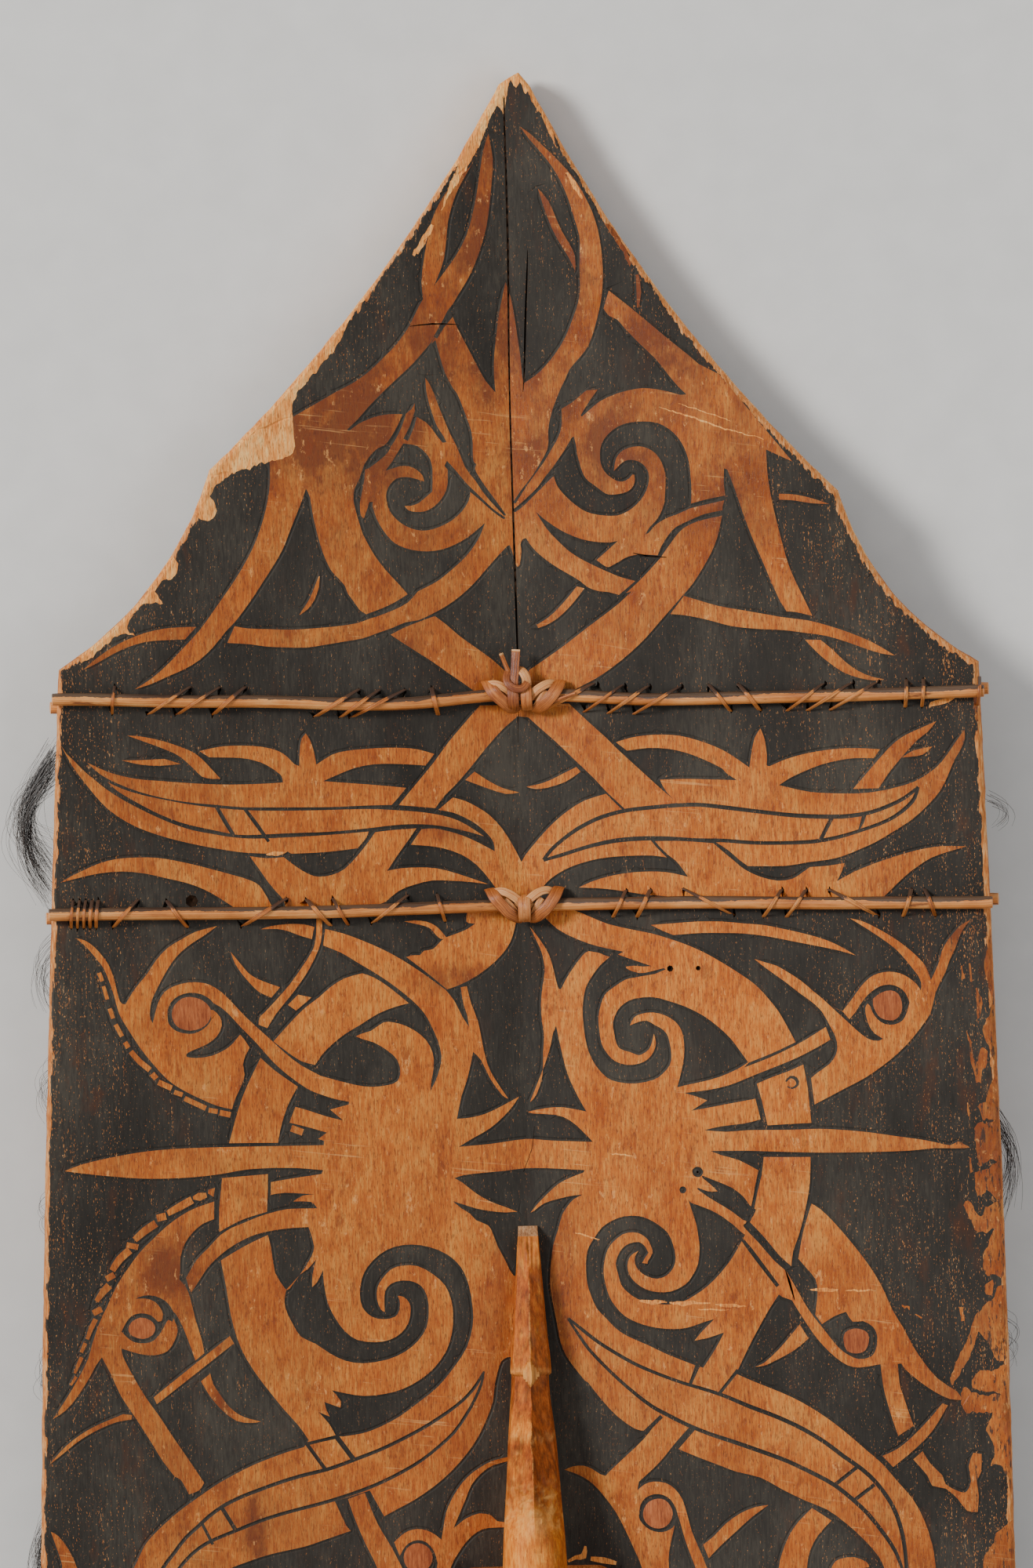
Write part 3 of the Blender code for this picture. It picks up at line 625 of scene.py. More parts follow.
LOWER = """
# ---- below the lower pair of canes, left head
wood shape -174.3,289/ -170.8,288 -167.3,285.4 -164.4,282 -162,278.4 -160.3,274 -159.1,269 -158.2,265
  -157.1,263 -155.6,262.8/ -154.5,264.6 -151.6,269 -147,274.4 -143.5,279.5 -138.8,284.4 -133,287.8
  -127.5,290.6 -119.2,292.6/ -124.5,288.9 -129,286.2 -133.5,282.8 -137,279 -140,274.4 -143,269 -145,265
  -146,261.5 -146.2,257.5 -145.2,255/ -144.3,258.5 -142.9,263 -140.5,267 -136.5,269.4 -131,270.7 -126,270.5
  -122.5,269.5 -118,266.5 -113.3,261.6 -108.6,256.4 -99,247.2 -93.5,241.9 -87.7,237.2 -80,232.8/ -74,231
  -66,228.8 -60,228 -54,228.5 -50,230 -48.8,234 -50,238.5 -53.5,242 -59,245.5 -66,248 -60,250 -55,253.2
  -51,253.1 -46,251.5 -40.5,248 -37,243.5 -35.6,238.5 -36,233 -36.8,229.5 -37.2,225.6/ -35,229.8 -33.3,234.5
  -32.5,239.5 -33.8,245.5 -36.3,251.5 -39,256.6 -43.5,261.6 -49,266.3 -56,271.5 -65,277.2 -71,281 -78,284/
  -77,290.4/ -70,288.5 -62,285.3 -54.5,281.8 -47,277.5 -39,272 -30.4,265.5/ -27,261 -24,254.7 -21.4,250.5/
  -22,255 -23.5,260 -24.4,266.3/ -22,266.7/ -20.5,260 -18,253 -16.5,245 -14.6,236 -11.5,229.5 -6.6,222/
  -9,223.5 -13.5,230 -17,237.5 -20.1,240.8/ -21,236.5 -22.8,229.5 -25,223.5 -27,214.6/ -22,214.9 -16,216.2
  -9,219.3 -2.3,222.8/ -4.5,219.6 -8.5,215.2 -14,210.6 -20,207.3 -26.5,203.6/ -14,204.4 0,206 10,205.2
  26.3,204.4/ 22,209 17.5,213 12,215.3 3,216 1,216.7/ 8,218 15,218.2 24,216.4/ 22,220 19.5,225 17,231
  15.2,238 13.8,245 12.8,250.4/ 11.5,247.5 10.5,243 9,238 6.5,231.5 2.2,221.3/ 2,220.5/ 4.5,223.5 7,231
  7.5,240 8,247 7.3,252 7,259 7.8,266 8.8,272.5 7.8,279 6,283.5 3.2,289.6/ 7,284.5 10.5,278.5 12.3,272
  13.8,265.4 15.1,264.8/ 17,268.5 20,273 23.5,277.5 26,279.4 29.9,279 34.5,277 40,279/ 30,281.3 22,284.2
  14,288.5 6.5,296/ 12,298/ 20,296 27,293 34,290 43,287.7 50.8,286 57.8,283.8 64.8,281.2 71.8,277.9
  78.7,273.8 85.7,269.2 91.5,264.8 96.2,259.5 100,254.5 103.3,248.5 106.5,242.3/ 97,238 88.1,234.6/
  86,232.6/ 95.1,235.9 103.3,239.5 110.2,243 118.4,248/ 120.1,243/ 114.9,240.1 107.9,236.6 100.9,233.7
  91.6,230.2 85.8,227.9 80,225.8 72,224.1 62.4,223.1/ 66,222 71.4,220/ 68.8,218.3 65.1,216/ 71.8,217.1
  78.7,218.3 90.3,220.3/ 92.2,212.2/ 85.7,210.7 76.4,209.7 70,208.3/ 78.7,207.5 87,208 103.3,207.9
  114.9,208.1 126.5,207.3 135.8,206.2 145.1,204.7 154.4,203.3 161,201.9 166,200.8 169,202.3 171.5,201
  173.5,199.8 168,199.6 160,199.8 150,199 135,198.7 115,198.8 95,199.6 86,200 72.3,200.1/ 76.4,198.4
  83.4,196.3 90.9,192.2/ 89.8,187.6 88.6,181.7 87.5,177/ 85.5,171.5/ 84.7,170.1 90.5,163.7 96.3,156.7
  101,152.5/ 106,143.4/ 108.5,138.7 111.4,134.3 115.5,129 120.5,122.5 124.5,119.3 128.5,117.6 133,118.3
  135.2,121 136,126 134.5,130 130.5,132.5 126.5,132.3 124,136.2/ 119.5,134.6 114.5,131.5/ 112,135.2/
  112.6,139.9 113.1,144.5 112.3,149.2 109.1,153.3 105.8,157.3/ 108,168 111.4,178.8/ 114.9,176.5 119.5,171.9
  125.4,164.9 131.2,157.3 135.8,150.3 139.3,143.4 142.2,136.4 146.3,129.4 149.8,122.4 153.9,116 159.1,109.6
  166.6,104.4/ 169,101/ 163.7,101.5 157.9,104.4 152.1,108.5 146.9,113.1 145.1,115.7/ 143.7,115.5/ 144.2,108
  145.3,104 147.4,97.2 149.4,91.2/ 143.4,87.3/ 141.6,92.6 139.3,100.7 137.9,107 137,115.5/ 133.5,114.9
  128.8,114.3 124.2,115.2 119.5,118.4 114.9,123 110.8,128.2 105,137.5 103,141/ 99,142.5/ 97.9,143.4/
  93.9,137.5 89.2,129.4 85.1,121.8 80.5,112.5/ 87,109.5 94,106.6 102.1,103 110.2,98.4 118.4,92.6 125.4,86.7
  131.2,81.5 137,76.3 142.8,69.3 148.6,62.3 152.7,54.2 155.6,44.9 157,34.4 158,20 158.2,0/ 143.3,0/ 143,12
  141,25 137,35 134.7,40.2 128.8,47.2 121.9,53.6 114.9,58.8 106.7,62.3 97.4,67 89.3,71.6 80,74 74.1,76.3
  64.8,80 56.6,83.5/ 63.6,90.8/ 61.9,91.9/ 56.6,86.2 49.7,78 41.5,70.5/ 40.9,67.2/ 43.8,69.5 47.3,70.5
  52,69.9 55.5,67.6 58.4,63.5 60.1,57.7 61.9,50.7 64.2,44.9 67.7,35.9 70,25 72,12 72.5,0/ 69,0/ 68.3,12
  66.3,24 64.2,33 61.3,41.4 59.3,47.2 57.8,53 56.7,57/ 55.3,54 54.9,51.9 53.2,44.9 52.6,40.2 52.8,30 53.3,15
  53.5,0/ 45,0/ 44.8,15 43.5,28 42.1,36.5 39.8,42.5 35.7,51.9 32.2,58.8 28.1,64.6 23.5,69.9 18.3,73.4
  12.4,75.6/ 15.9,76.9 20,77.1 23.5,75.7 26.4,73.7 28.5,73/ 29.9,74.5 36.9,80.9 43.8,87.3 50.4,95.6/
  44.8,90.5/ 40.4,91.4 33.4,96.6 27.6,103 22.3,110/ 0,121/ -9.2,120.3/ -11.5,118.8 -13.2,114.3 -14.4,109
  -15.2,103 -17.9,96 -21.4,89.1 -26,82.7 -31.9,76.3 -38.8,70.5 -47,65.2 -52.8,62.3 -58.8,59.2/ -64.2,69.5/
  -78,65.7/ -73.7,55.9/ -72,53.9/ -83,50.5 -90,48.3 -103,45.8 -112.3,43.1 -120.4,40.2 -128,36 -132,30
  -134,20 -134.5,0/ -160.8,0/ -160.5,15 -159.5,30 -157.6,40.2 -155.9,44 -153.5,48.9 -151.2,52.4 -147.2,56.5
  -141.3,61.7 -135.5,66 -129.7,69.9 -123.9,73.7 -116.9,77.4 -109.9,80.7 -103,83.3 -96,85.6 -89.6,87.3/
  -87.7,90/ -91.3,95.5 -97.2,102.4 -103,110 -106.6,114.9 -111.3,122.4 -114.8,130.6 -117.1,139.9 -118.8,151.5
  -120.6,161.4/ -113.6,165.5 -107.8,168.4 -102,170.9/ -100.8,165.5 -99.5,156 -95.3,149.2/ -89.8,155
  -86,160.5 -84,166 -86,173.6/ -92.7,173.4 -99.6,172.7 -106.6,171.3 -112.4,168.9 -118.2,165.5 -122.9,161.7
  -126.4,157.9 -129.9,152.7 -132.4,149.2/ -133.4,151.5 -134.3,155/ -129.9,162 -125.2,166.6 -120.6,171.3
  -115.9,174.2 -111.3,175.9 -105.4,178.2 -99.6,179.8 -93.8,180.9 -86,180.9 -82.4,180.9/ -85,183.5
  -91.8,183.8/ -88,186 -83,186.4/ -95,187.3 -100.6,186.6/ -100.4,191.6/ -93.8,192.6 -80.5,194.3/
  -79.8,195.8/ -90,196.9 -100,197.2/ -110,196.8 -120,195.3 -130,194.4 -140,194.1 -150,194.3 -160,195.2
  -170,196.4 -180.8,198/ -174,200.4 -165,202.4 -152,204.5 -140,205.5 -127,205.8 -110,205.8 -85,205.6
  -79.4,205.6/ -79.2,207.3/ -81.5,208.1/ -78,210.5/ -85.3,212.8 -92.6,214.8/ -90.2,220.9/ -85.3,219.4
  -78,216.8 -71.6,215.1/ -76.6,219.5/ -69.3,221.3/ -69.1,222.4/ -74.5,223.6 -80.3,225.6 -85.5,228 -93,233.6
  -99,239.3 -105,246.5 -111,252.8 -116,258.5 -121,262.2 -123.5,260 -121.5,259.6 -119,257 -118.3,253.5
  -120.3,249.3 -124.5,246.2 -130,244 -132.3,242.7 -132.2,241.5/ -128.5,241 -122.5,241.7 -117,244.1
  -113.8,246.7 -111.2,249.8/ -109.5,247.7 -107.6,244.6/ -109.3,241.5 -110.3,238 -109.8,234 -111,230
  -113.5,225 -115,220.6/ -120.5,222 -127,224.9 -134,228.6 -140,232.9 -145.5,239.2 -150.5,245.8 -155.2,253.5
  -158.2,259 -160,266 -162,272.4 -164,277.2 -166,280 -170,285
black shape -139.2,255.2/ -139.4,259.5 -138,263 -135,265.5 -130.7,266.7 -126,266 -122.5,263.8 -120.8,261.5/
  -122.5,260 -122.3,256.5 -124,253.5 -127.5,251.2 -131,250.5 -135.5,251.5 -138,253.3
wood shape -98.2,246.8/ -94.7,250.6 -90,255.5 -85.3,259.9 -80,263.7 -75.7,267.4 -69.9,270.9 -62.9,272.7/
  -58.3,270.9 -52.4,266.9 -44.9,260.5/ -50.1,259.3 -57.1,256.7 -64.1,252.5 -69.9,249.2 -75.1,245.3
  -79.2,241.3 -82.1,237.2/ -87.7,238.9 -93.5,243
wood shape -80.3,297/ -78.2,297/ -78.4,288.4 -79.8,282.6 -83.6,275 -87.1,269.8 -91.2,264.5 -97,257.6
  -100.5,252.1/ -103.9,253.5/ -103.4,256.4 -101.6,258.1 -97,262.8 -91.2,269.2 -86.5,275.6 -83,280.8
  -80.9,286
wood shape -92.3,261/ -88.2,264.9/ -83,263.7/ -89.1,258.7/
wood shape -114.2,282.3/ -112.7,277.9 -109.8,273.3 -106.9,269.8 -103.4,266.3 -98.7,264/ -95.2,268/
  -99.3,269.5 -104,271.5 -107.4,273.8 -110.3,277.3
wood shape -102.2,290.9/ -98.1,292.1 -91.2,292.7 -85.3,292.4 -81.3,291.3/ -82.4,286.6/ -87.1,288.1
  -91.2,289.8 -95.8,290.9
wood shape -21,297/ -21.6,292.1 -18.1,291.2/ -21.6,289 -26.3,287.2 -30.3,285.8 -32.7,283.7 -35,281.6
  -38.5,281/ -40.2,279.3/ -43.1,279.3 -45.5,278.7/ -40.8,275 -36.2,271.2 -29.8,265.6/ -24.5,267.4
  -17.6,270.9 -10.6,276.2 -5.9,281.4 -3.6,286 -2.2,291.3/ -2.5,298/
wood shape -46,292.7/ -42,293 -37.3,292.4 -33.8,290.7 -31.5,288.4 -29.4,285.8/ -31.7,285.5 -33.8,287.2
  -35.6,289.5 -38.5,290.9
wood shape -103.4,240.5/ -98.1,235.5 -89.1,228.8/ -92.3,223.3 -94.7,217.4 -96.4,211.6 -97.3,207/
  -106.9,207.2 -116.4,207.3/ -115.6,209.9 -113.8,216.3 -111.5,223.3 -108.6,230.2
wood line -165.7,275.3,1.6 -164.5,272,1.6
wood line -164.1,270,1.4 -162.7,264.8,1.5
wood line -161.9,261.2,1.6 -160.6,257.3,1.6
wood line -159.7,254.9,1.7 -157.3,250.2,1.7
wood line -156.2,247.9,1.9 -154.9,245.7,1.9
wood line -154,244.2,2.1 -150.5,240,2.2 -146.7,236.8,2.2
wood line -145.9,235.3,2.2 -144.3,233.3,2.2
wood line -143.5,231.9,2.2 -138.3,229.4,2.2
wood line -137.4,227.9,1.8 -134.2,226.7,1.8
wood line -133.4,225.3,2 -125.2,221.2,2
wood line -124.1,220.5,1.9 -120.6,219.8,1.9
wood line -119.8,219.4,2.2 -115.6,218.4,2.2
wood line -92,212.6,2.6 -87.5,210.8,2.6
# right head, panels and spiral
wood shape 91,275.2/ 95.1,273.8 99.8,272.3 104.4,269.5 109.1,266.3 113.7,262.2 117.4,259.1/ 121,256
  125.1,254.1/ 128.8,258.7 132.3,263.4 135.8,266.9 139.3,268.6 143.4,269.2 147.4,268.6 150.9,266.9
  154.1,264.2 155.8,261.6/ 156,264.5 154.7,267.7 152.1,271.2 148.6,275.6 145.1,279.1 140.5,282.6 134.7,286.6
  128.8,290.4/ 133.5,289.2 139.3,286.3 145.1,282.8 149.8,279.3 154.4,275.2 157.7,271.2 159.4,266.9
  159.8,265.6/ 161.4,268.8 163.2,272.9 164.3,277 166.6,281 169,284 171.9,286.9 176.1,289.3/ 173.6,286.6
  171.3,282.6 169.5,277.9 167.2,273.3 165.5,268.6 163.2,264.5 161.4,260.5 160.2,255.8 159.1,252.3
  156.7,248.8 152.1,243 146.3,237.2 140.5,232.6 133.5,227.9 125.4,223.8 113.4,217.7/ 112.8,223.3
  112.3,228.1/ 114.9,230.2 119.5,233.4 121.9,236.6 122.8,240.1 122.1,244.2 120.7,247.1 119,250.6 117,254.1
  114.7,256.6 112.6,258.4 107.9,261.9 103.3,265.7 98.6,269.2 94,272.7
black shape 117.4,259.1/ 121,256 125.1,254/ 127.7,250.9/ 130,253.5 132,256.6 134.1,259.3 136.6,261.6
  139.9,263.6 143.7,264.2 147.2,263.1 149.8,260.7 151.3,257/ 150.2,253.3 148.4,250 145.1,248.5 141.6,248.7
  138.7,250.6 136.7,253.5 135.8,256/ 134.9,256.9/ 134,255.2 134.3,251.7 135.6,247.7 137.6,245 140.6,243/
  138.7,242.2 134.7,243.1 130,246.9 126.5,250.3 121.9,254.7
red shape 137,258.7/ 140.2,261 144,261.9 146.9,260.5 148.3,257 148,253.3 146,250.7 143.4,250.1 139.9,251.2
  138.1,253.5 137,256.4
wood shape 50.8,289.3/ 60.1,289.8 69.4,290.3 78.7,290.1 87,289.2 95.1,288.4 103.3,286.6 111.4,284.6
  119.5,282 125.4,279.1 130.8,275.8/ 124.2,277.9 114.9,280 105.6,282 96.3,284 87,285.3 79.9,285.6 70.6,285.8
  59.5,285.2/ 55.5,286.9
wood shape 91,226.2/ 97.4,228.8 103.3,230.8 109.3,233.4/ 110.8,224.4 111.4,217.4 112,210.5/ 103.3,210.2
  94.9,209.8/ 94,214 92.8,219.8
black line 102.3,226.8,0.6 104.2,228.6,1.1 106.4,227.8,1.4 106.9,225.6,1.1 104.8,224.2,0.7 102.9,224.9,0.5
black shape 22,281.8/ 29.9,280.2 34.5,279.1 41.5,276.5 47.3,274.4 50.8,273.1/ 47.3,273 43.8,273.4
  40.6,273.1/ 41.5,272 45.8,270.5 49.7,270.9 55.5,272.3/ 56.3,271.7/ 52,270 47.3,269.3 43.8,268.7 40.4,268
  35.7,265.1 32.2,262.2 30.5,258.1 29.5,253.5 29.7,248.8 30.5,243 32.8,238.9 35.7,236 40.4,234.5 45,234.9
  48.5,236.6 50.8,239.5 51.8,243 51.1,246.5/ 50.4,243.6 49.1,240.5 46.2,238.5 44.4,238.3 41.5,239.5 38,240.7
  36.3,243 35.4,247.7 35.1,251.2 36.9,255.8 39.8,258.7 43.8,260.5 50.8,261 56.6,259.5 63.6,257 70.6,253.3
  76.4,248.8 81.1,244.2 84.5,239.5 87.8,234.7/ 83.4,232 76.4,229.1 69.4,227.3 63.6,226.2 59.8,225.3/
  61.5,231.4 62.7,237.2 62.8,243 61.9,247.7 59.5,251.2 55.5,253.7 50.8,254.9 46.2,254.4 43.3,252.9 41.8,250/
  45,251.3 48.5,251.7 51.6,249.9 53.7,248.8 56.1,246.5 57.2,243 57.8,238.4 57.2,234.3 54.3,230.8 50.8,228.5
  43.8,227.1 36.9,227.7 32.2,229.7 28.1,234.3 25.5,239.5 24.1,245.3 23.3,253.5 23.5,259.3 24.7,265.1
  27,269.2 30.5,273.8 34.5,277.1/ 29.9,278.8 26.4,279.4/
# lower head left, panels, spiral
wood shape -119.4,193.7/ -111.3,194.2 -101.5,194.8/ -101.7,187.6 -102.2,180/ -107.8,178.5 -113.6,176.5
  -120.9,172.7/ -120.8,181.7 -120,188.7
wood shape -122.7,184.6/ -129.9,182.3 -135.7,179.4 -141.5,175.3 -147.3,170.1 -152,165.5 -156.6,159.6
  -161.3,152.7 -165.3,144.5 -168.2,138.7 -171.2,130.6 -172.9,124.8 -175.8,118.9 -179.9,112 -184.5,105
  -187.4,101/ -182.2,104.4 -177.6,109.6 -172.9,116.6 -170,121.8 -167.7,124.8/ -164.2,117.8 -160.7,109.6
  -154.7,100 -149.5,91.4 -144.8,83.3 -140.2,77.1/ -137.8,75.7 -134.9,70.1/ -130.9,71.6 -128.9,74.5/
  -132.6,80.3 -136.7,86.7 -141.3,93.7 -146,101.3 -150.8,108.3 -155.5,116.6 -159.5,124.8 -160,128/
  -153.1,125.7 -147.3,125 -142.1,126.5 -139.2,130.6 -138,134.6 -138.8,137.5 -140.3,141.5/ -138.6,141
  -135.7,135.2 -132.8,127.1 -131.3,122.5/ -127.8,125.3/ -128.7,130.6 -131,138.7 -132.8,146.9 -134.5,151.5
  -136.9,154.4/ -136.5,158.5 -136.3,163.1 -134.5,168.4 -131.6,172.4 -127.5,175.9 -122.9,177.7/
black shape -154.3,147.3/ -150.8,148.5 -146.7,148.2 -142.7,146.3 -140.3,143.4 -138.8,140.5/ -140,138/
  -141.5,138.7/ -142.1,138.1/ -144.4,134.1 -147.3,130.8 -150.8,129.8 -154.9,130.3 -157.8,132.3 -159.9,134.6/
  -158.4,137.5 -156,140.5 -152.5,141.6 -148.5,140.8 -145.6,138.1/ -144.2,138.4/ -143.6,141 -144.6,143.5
  -146.7,146 -150.2,147.3
red shape -157.2,135.2 -156,138.1 -152.5,139.9 -148.5,138.7 -146.7,135.8 -147.9,132.9 -151.4,131.5
  -155.5,132.7
wood shape -147.9,108.5/ -117.7,131.7/ -116.1,128.8/ -146.7,105.8/
wood shape -129.3,114.3/ -125.6,117.2/ -124.6,113.1 -121.7,108.5 -118.7,104.2 -114.6,100.7 -110.5,99
  -106.2,97.8/ -109.9,97.4 -115.8,98.4 -121.6,103 -126,108.5
wood line -124.9,188.6,1.5 -122.6,188.2,3.6
wood line -130.9,186.2,1.2 -128.5,186.6,3.2 -125.6,187.2,1.8
wood line -141,180.4,2.2 -136,183,3 -131.3,185.5,3
wood line -145.2,178.6,2.8 -141.6,179.4,2.8
wood line -154,170.4,2.4 -150,173.8,3 -145.6,176.6,3
wood line -157.2,168.5,2.2 -152.7,167.5,2.2
wood line -163,158.6,2.4 -160,163,3 -156,166.4,3
wood line -165.4,155.3,2.4 -162.2,157,2.4
wood line -169.4,146.8,1.8 -167,150,2.6 -164.3,152.8,3
wood line -170.8,142.1,2.4 -167.4,143.7,2.4
wood line -173.3,132,1.4 -171.8,136,1.9 -169.8,139.8,1.9
wood line -175.7,126.9,1.4 -174,130.5,1.6
wood line -178.4,118.8,1 -177,122,1.4 -175.6,125,1.6
wood line -180,114.2,0.8 -177.9,117.5,1.2
black shape -95.3,149.2/ -93.8,149.8 -89.8,155 -86.5,157.3 -83.3,160.8/ -84.8,155 -85.1,150/ -83,152.1
  -80.7,156.7/ -80.5,151.5 -79.8,146.9 -78.6,142.2 -76,137 -72.6,132.3 -67.9,128.8 -60.9,127.7 -55.1,128.5
  -50.5,131.1 -47.6,135.2 -46.7,139.9 -47.2,142.8 -49.3,145.1 -51.6,145.7/ -51,143.9 -51,140.5 -52.8,137.5
  -57.4,136.6 -62.1,137.8 -65.6,141.6 -66.5,146.9 -65.6,152.7 -63.3,157.3 -58.6,162 -52.8,164.9 -45.8,165.7
  -38.8,164.5 -31.9,161.4 -26.6,156.2 -23.7,149.2 -22.3,139.9 -22.5,132.9 -24.9,124.8 -29.5,117.8
  -36.5,109.6 -43.5,104.2 -51.6,98.4 -59.8,94.3 -66.7,92 -74.3,91/ -77,91.2/ -79.5,96 -83.6,100.9/ -79.3,99/
  -80.5,101.5 -81.3,104.8/ -75.1,102.4/ -74.9,105 -78.2,109.3/ -72.6,107.9 -65.6,106.7 -57.4,107.3 -50.5,109
  -43.5,112.5 -37.7,117.2 -33,123.6 -30.7,130.6 -30.1,137.5 -30.7,143.4 -33,149.2 -37.7,153.8 -43.5,157.1
  -49.3,157.5 -53.9,156.2 -57.4,152.7 -59.5,149.2 -59.8,144.5 -58.4,140.5 -56.9,139.5/ -56.9,145.7
  -55.7,149.2 -52.2,151.3 -47,151.5 -42.3,149.2 -40,144.5 -39.6,138.7 -40.6,132.9 -44.1,127.7 -49.3,123.6
  -56.3,120.7 -65.6,119.5 -72.6,120.7 -78.4,123.6 -84.2,127.7 -89.8,130.6 -92.7,135.2 -95,139.9 -96.1,144.5
# centre below the spikes
black shape -28.4,191.3/ -24.9,192.4 -17.9,193.1 -8.6,193.7 -1,194.5 8,194.4 18.3,193.7 22.9,193.4/
  22.3,192.4/ 17.1,190.5 12.4,188.1 7.8,184.1 3.7,180 1.2,177/ 2.6,177.7 6.6,180.6 12.4,182.3 18.3,183.5
  21.9,183.8/ 18.3,182 15.9,179.4 13.6,175.9 11.9,170.1 9.9,164.3 9,158.5 8.4,152.7 8.4,146.9 9.5,139.9
  10.7,132.9 11.9,125.9 14.2,120.1 18.3,114.3 22.9,108.5 31,99/ 0,99/ 0,150/ -6,152.4/ -7.4,154.4 -9.2,158.5
  -12.1,164.3 -13.8,169 -15.6,172.4 -20.2,174.5 -22.5,177.1 -26,179.4 -29.3,182.3/ -24.9,180.8 -20.2,179.2
  -14.4,178 -8.6,177.3 -4,177.5/ -8.6,179.4 -14.4,181.7 -20.2,185.2 -25.5,189.6
black shape 72.5,134.1/ 68.8,133.1 64.2,131.5 59.6,130.5 53.5,130.5 47.3,131.5 41.9,133.3 37.3,135.8
  33.8,139.6 31.5,143.5 30,148.8 29.4,153.5 30,158.1 31.2,161.9 33.5,165 37.3,167.9 41.2,168.6 44.2,167.9
  46.9,165.8 48.2,163.1 48.8,160.4 46.9,157.3 46.7,156.2/ 44.6,156.5/ 45.8,158.5 47.2,160.5/ 45.8,163.1
  43.5,164.8 39.6,164.2 36.9,162.3 35.2,159.6 34.2,156.2 35,152.7 36.2,148.1 38.8,145 42.7,142.3 48.1,140.8
  53.5,140 59.6,140.8 65,143.5 70.4,147.3 75.8,152.7 80,158.1 83,163.1 85.2,167/ 83.8,168 80.4,171.2
  76.5,174.2 71.9,176.9 67.3,178.8 64.2,179.9/ 63.2,181.2/ 64.6,176.5 66.2,171.2 66.9,166.5 67.2,161.9
  66.5,155.8 64.2,151.2 61.2,147.7 55.8,145.2 50.4,145 45.8,146.2 41.9,148.8 39.6,151.9 38.8,155.4
  39.6,158.5 41.2,160.2 43.3,161.3/ 41.9,159.2 41.8,156.2 43.5,153.3 46.5,151.2 50.4,150.2 54.2,151.5
  56.9,154.6 57.8,158.5 56.9,163.5 55,168.1 51.2,171.5 47.3,173.8 43.5,175 38.1,175 33.5,173.5 29.2,170.8
  26.2,166.9 23.8,163.1 22.8,159.6 22.5,154.2 22.9,148.8 24.2,144.2 26.5,138.8 30,135 33.5,131.2 38.1,127.9
  46.2,124.2 53.2,120.7 60.1,117.8 65.4,115.7/ 67.7,115/ 71.2,120.1 74.1,124.8 76.2,128.8/ 69.4,126.6
  64.5,125.7/ 67.1,128.8 69.4,131.1
wood shape 93.1,197.4/ 102.1,197.2 111.4,197.1/ 111.1,189.9 110.5,184.1 108.5,174.8 106.2,166.6 103.8,160.2
  103,154.4/ 98.6,158.5 94,164.3 90.5,168.4 87.2,171.9/ 88.7,175.9 90.5,184.1 92.2,190.5
black shape 68.9,190.5/ 74,188.4 80.5,185.5 85,181.8 87.3,178.5 89.7,176.8/ 88.6,174.4/ 86.8,172.5
  84.5,172.8 80.5,176 75.5,179.2 70.6,182.3 66.8,185.2/ 67,185.8/ 71,184.3 74.8,184.2/ 72,187 69,189.5
black shape 69.3,191.9 68.4,193.6 66.5,194 65.1,192.8 65.2,191 66.7,189.9 68.4,190.2
black shape 62.6,185 61.9,186.2 60.6,186.3 59.8,185.2 60.4,183.8 61.8,183.7
black line 84,165.2,1.2 87,161.2,1.7 91.6,154.8,1.7 97.6,146.6,1.5
red shape 122.8,124.8 123.6,128.2 127.7,129.6 131.8,128.2 132.7,124.8 131.2,121 127.7,119.8 124,121
wood shape 87.9,115.1/ 91.6,116.6 97.4,121.8 102.1,127.1 105.8,131.5/ 109.1,125.9/ 103.3,121.3 96.3,117.6
  91.6,115.5
black line 15,135.4,0.8 20.6,130.6,1.4 26.4,125.9,1.4 33.4,121.3,1.4 41.5,116.6,1.4 50.8,112.5,1.3
  60.1,109,1.3 69.4,106.1,1.4 76.4,103.6,1.5 85.7,99.5,1.7 93.9,96.3,1.7 100,93.6,1.7 106.7,90.2,1.7
  114.9,85,1.7 121.9,79.5,1.7 128.8,74.5,1.7 134.7,68.7,1.7 140.5,60,1.7 143.4,51.9,1.7 144.9,43.7,1.6
  145.8,30,1.6 146.2,15,1.6 146.3,0,1.6
black line 15,135,0.8 19.4,128.2,1.2 22.9,123,1.3 28.7,116.6,1.3 34.5,110.8,1.3 41.5,104.6,1.4
  47.3,100.1,1.5 52,97.4,1.6 60.1,93.1,1.6 69.4,89.1,1.6 78.7,85.9,1.7 88,82.5,1.7 97.3,79,1.7
  103.3,76.3,1.7 111.4,72.2,1.7 118.4,68.1,1.7 125.4,62.3,1.7 131.2,56.5,1.7 137,48.9,1.6 141.6,41.4,1.5
  144.8,32,1
black line 65.5,115.8,1.9 62.3,108.3,1.2
black line 81.3,114,1.4 73.3,104.2,1.3
black line 127.1,75.3,1.5 118.2,68.4,1.5
black line 133.7,68.3,1.5 125.7,62.3,1.5
black line 51,96.2,1.6 44.2,89.8,1.7
black line 63.2,91.2,2 55.6,82.6,1.8
black shape 41.3,58/ 42,61.5 44,64.2 47.5,65.6 51,65.2 54,63.2 56,59.5 56.7,56.5/ 56,54.6/ 54.5,52.4 52,51
  49,50.6 45.5,51.6 42.6,54 41.3,56.3
red shape 54.6,57.8 53.6,61 51.6,63.2 48.7,63.8 45.3,62.6 43.3,59.8 43,56.5 44.6,53.8 47.4,52.2 50.6,52.3
  53.2,54.2
wood shape 92.1,60.8/ 86.9,60 81.1,57.7 75.2,53.6 70.6,48.9 66.2,45.5/ 68.3,40.2/ 72.9,44.9 78.7,50.1
  85.7,56.3
wood shape 109.1,59.4/ 116.6,54.4/ 111.4,48.9 107.9,42.5 106.5,35 105.2,20 104.8,0/ 93.6,0/ 94,20 95.5,35.3
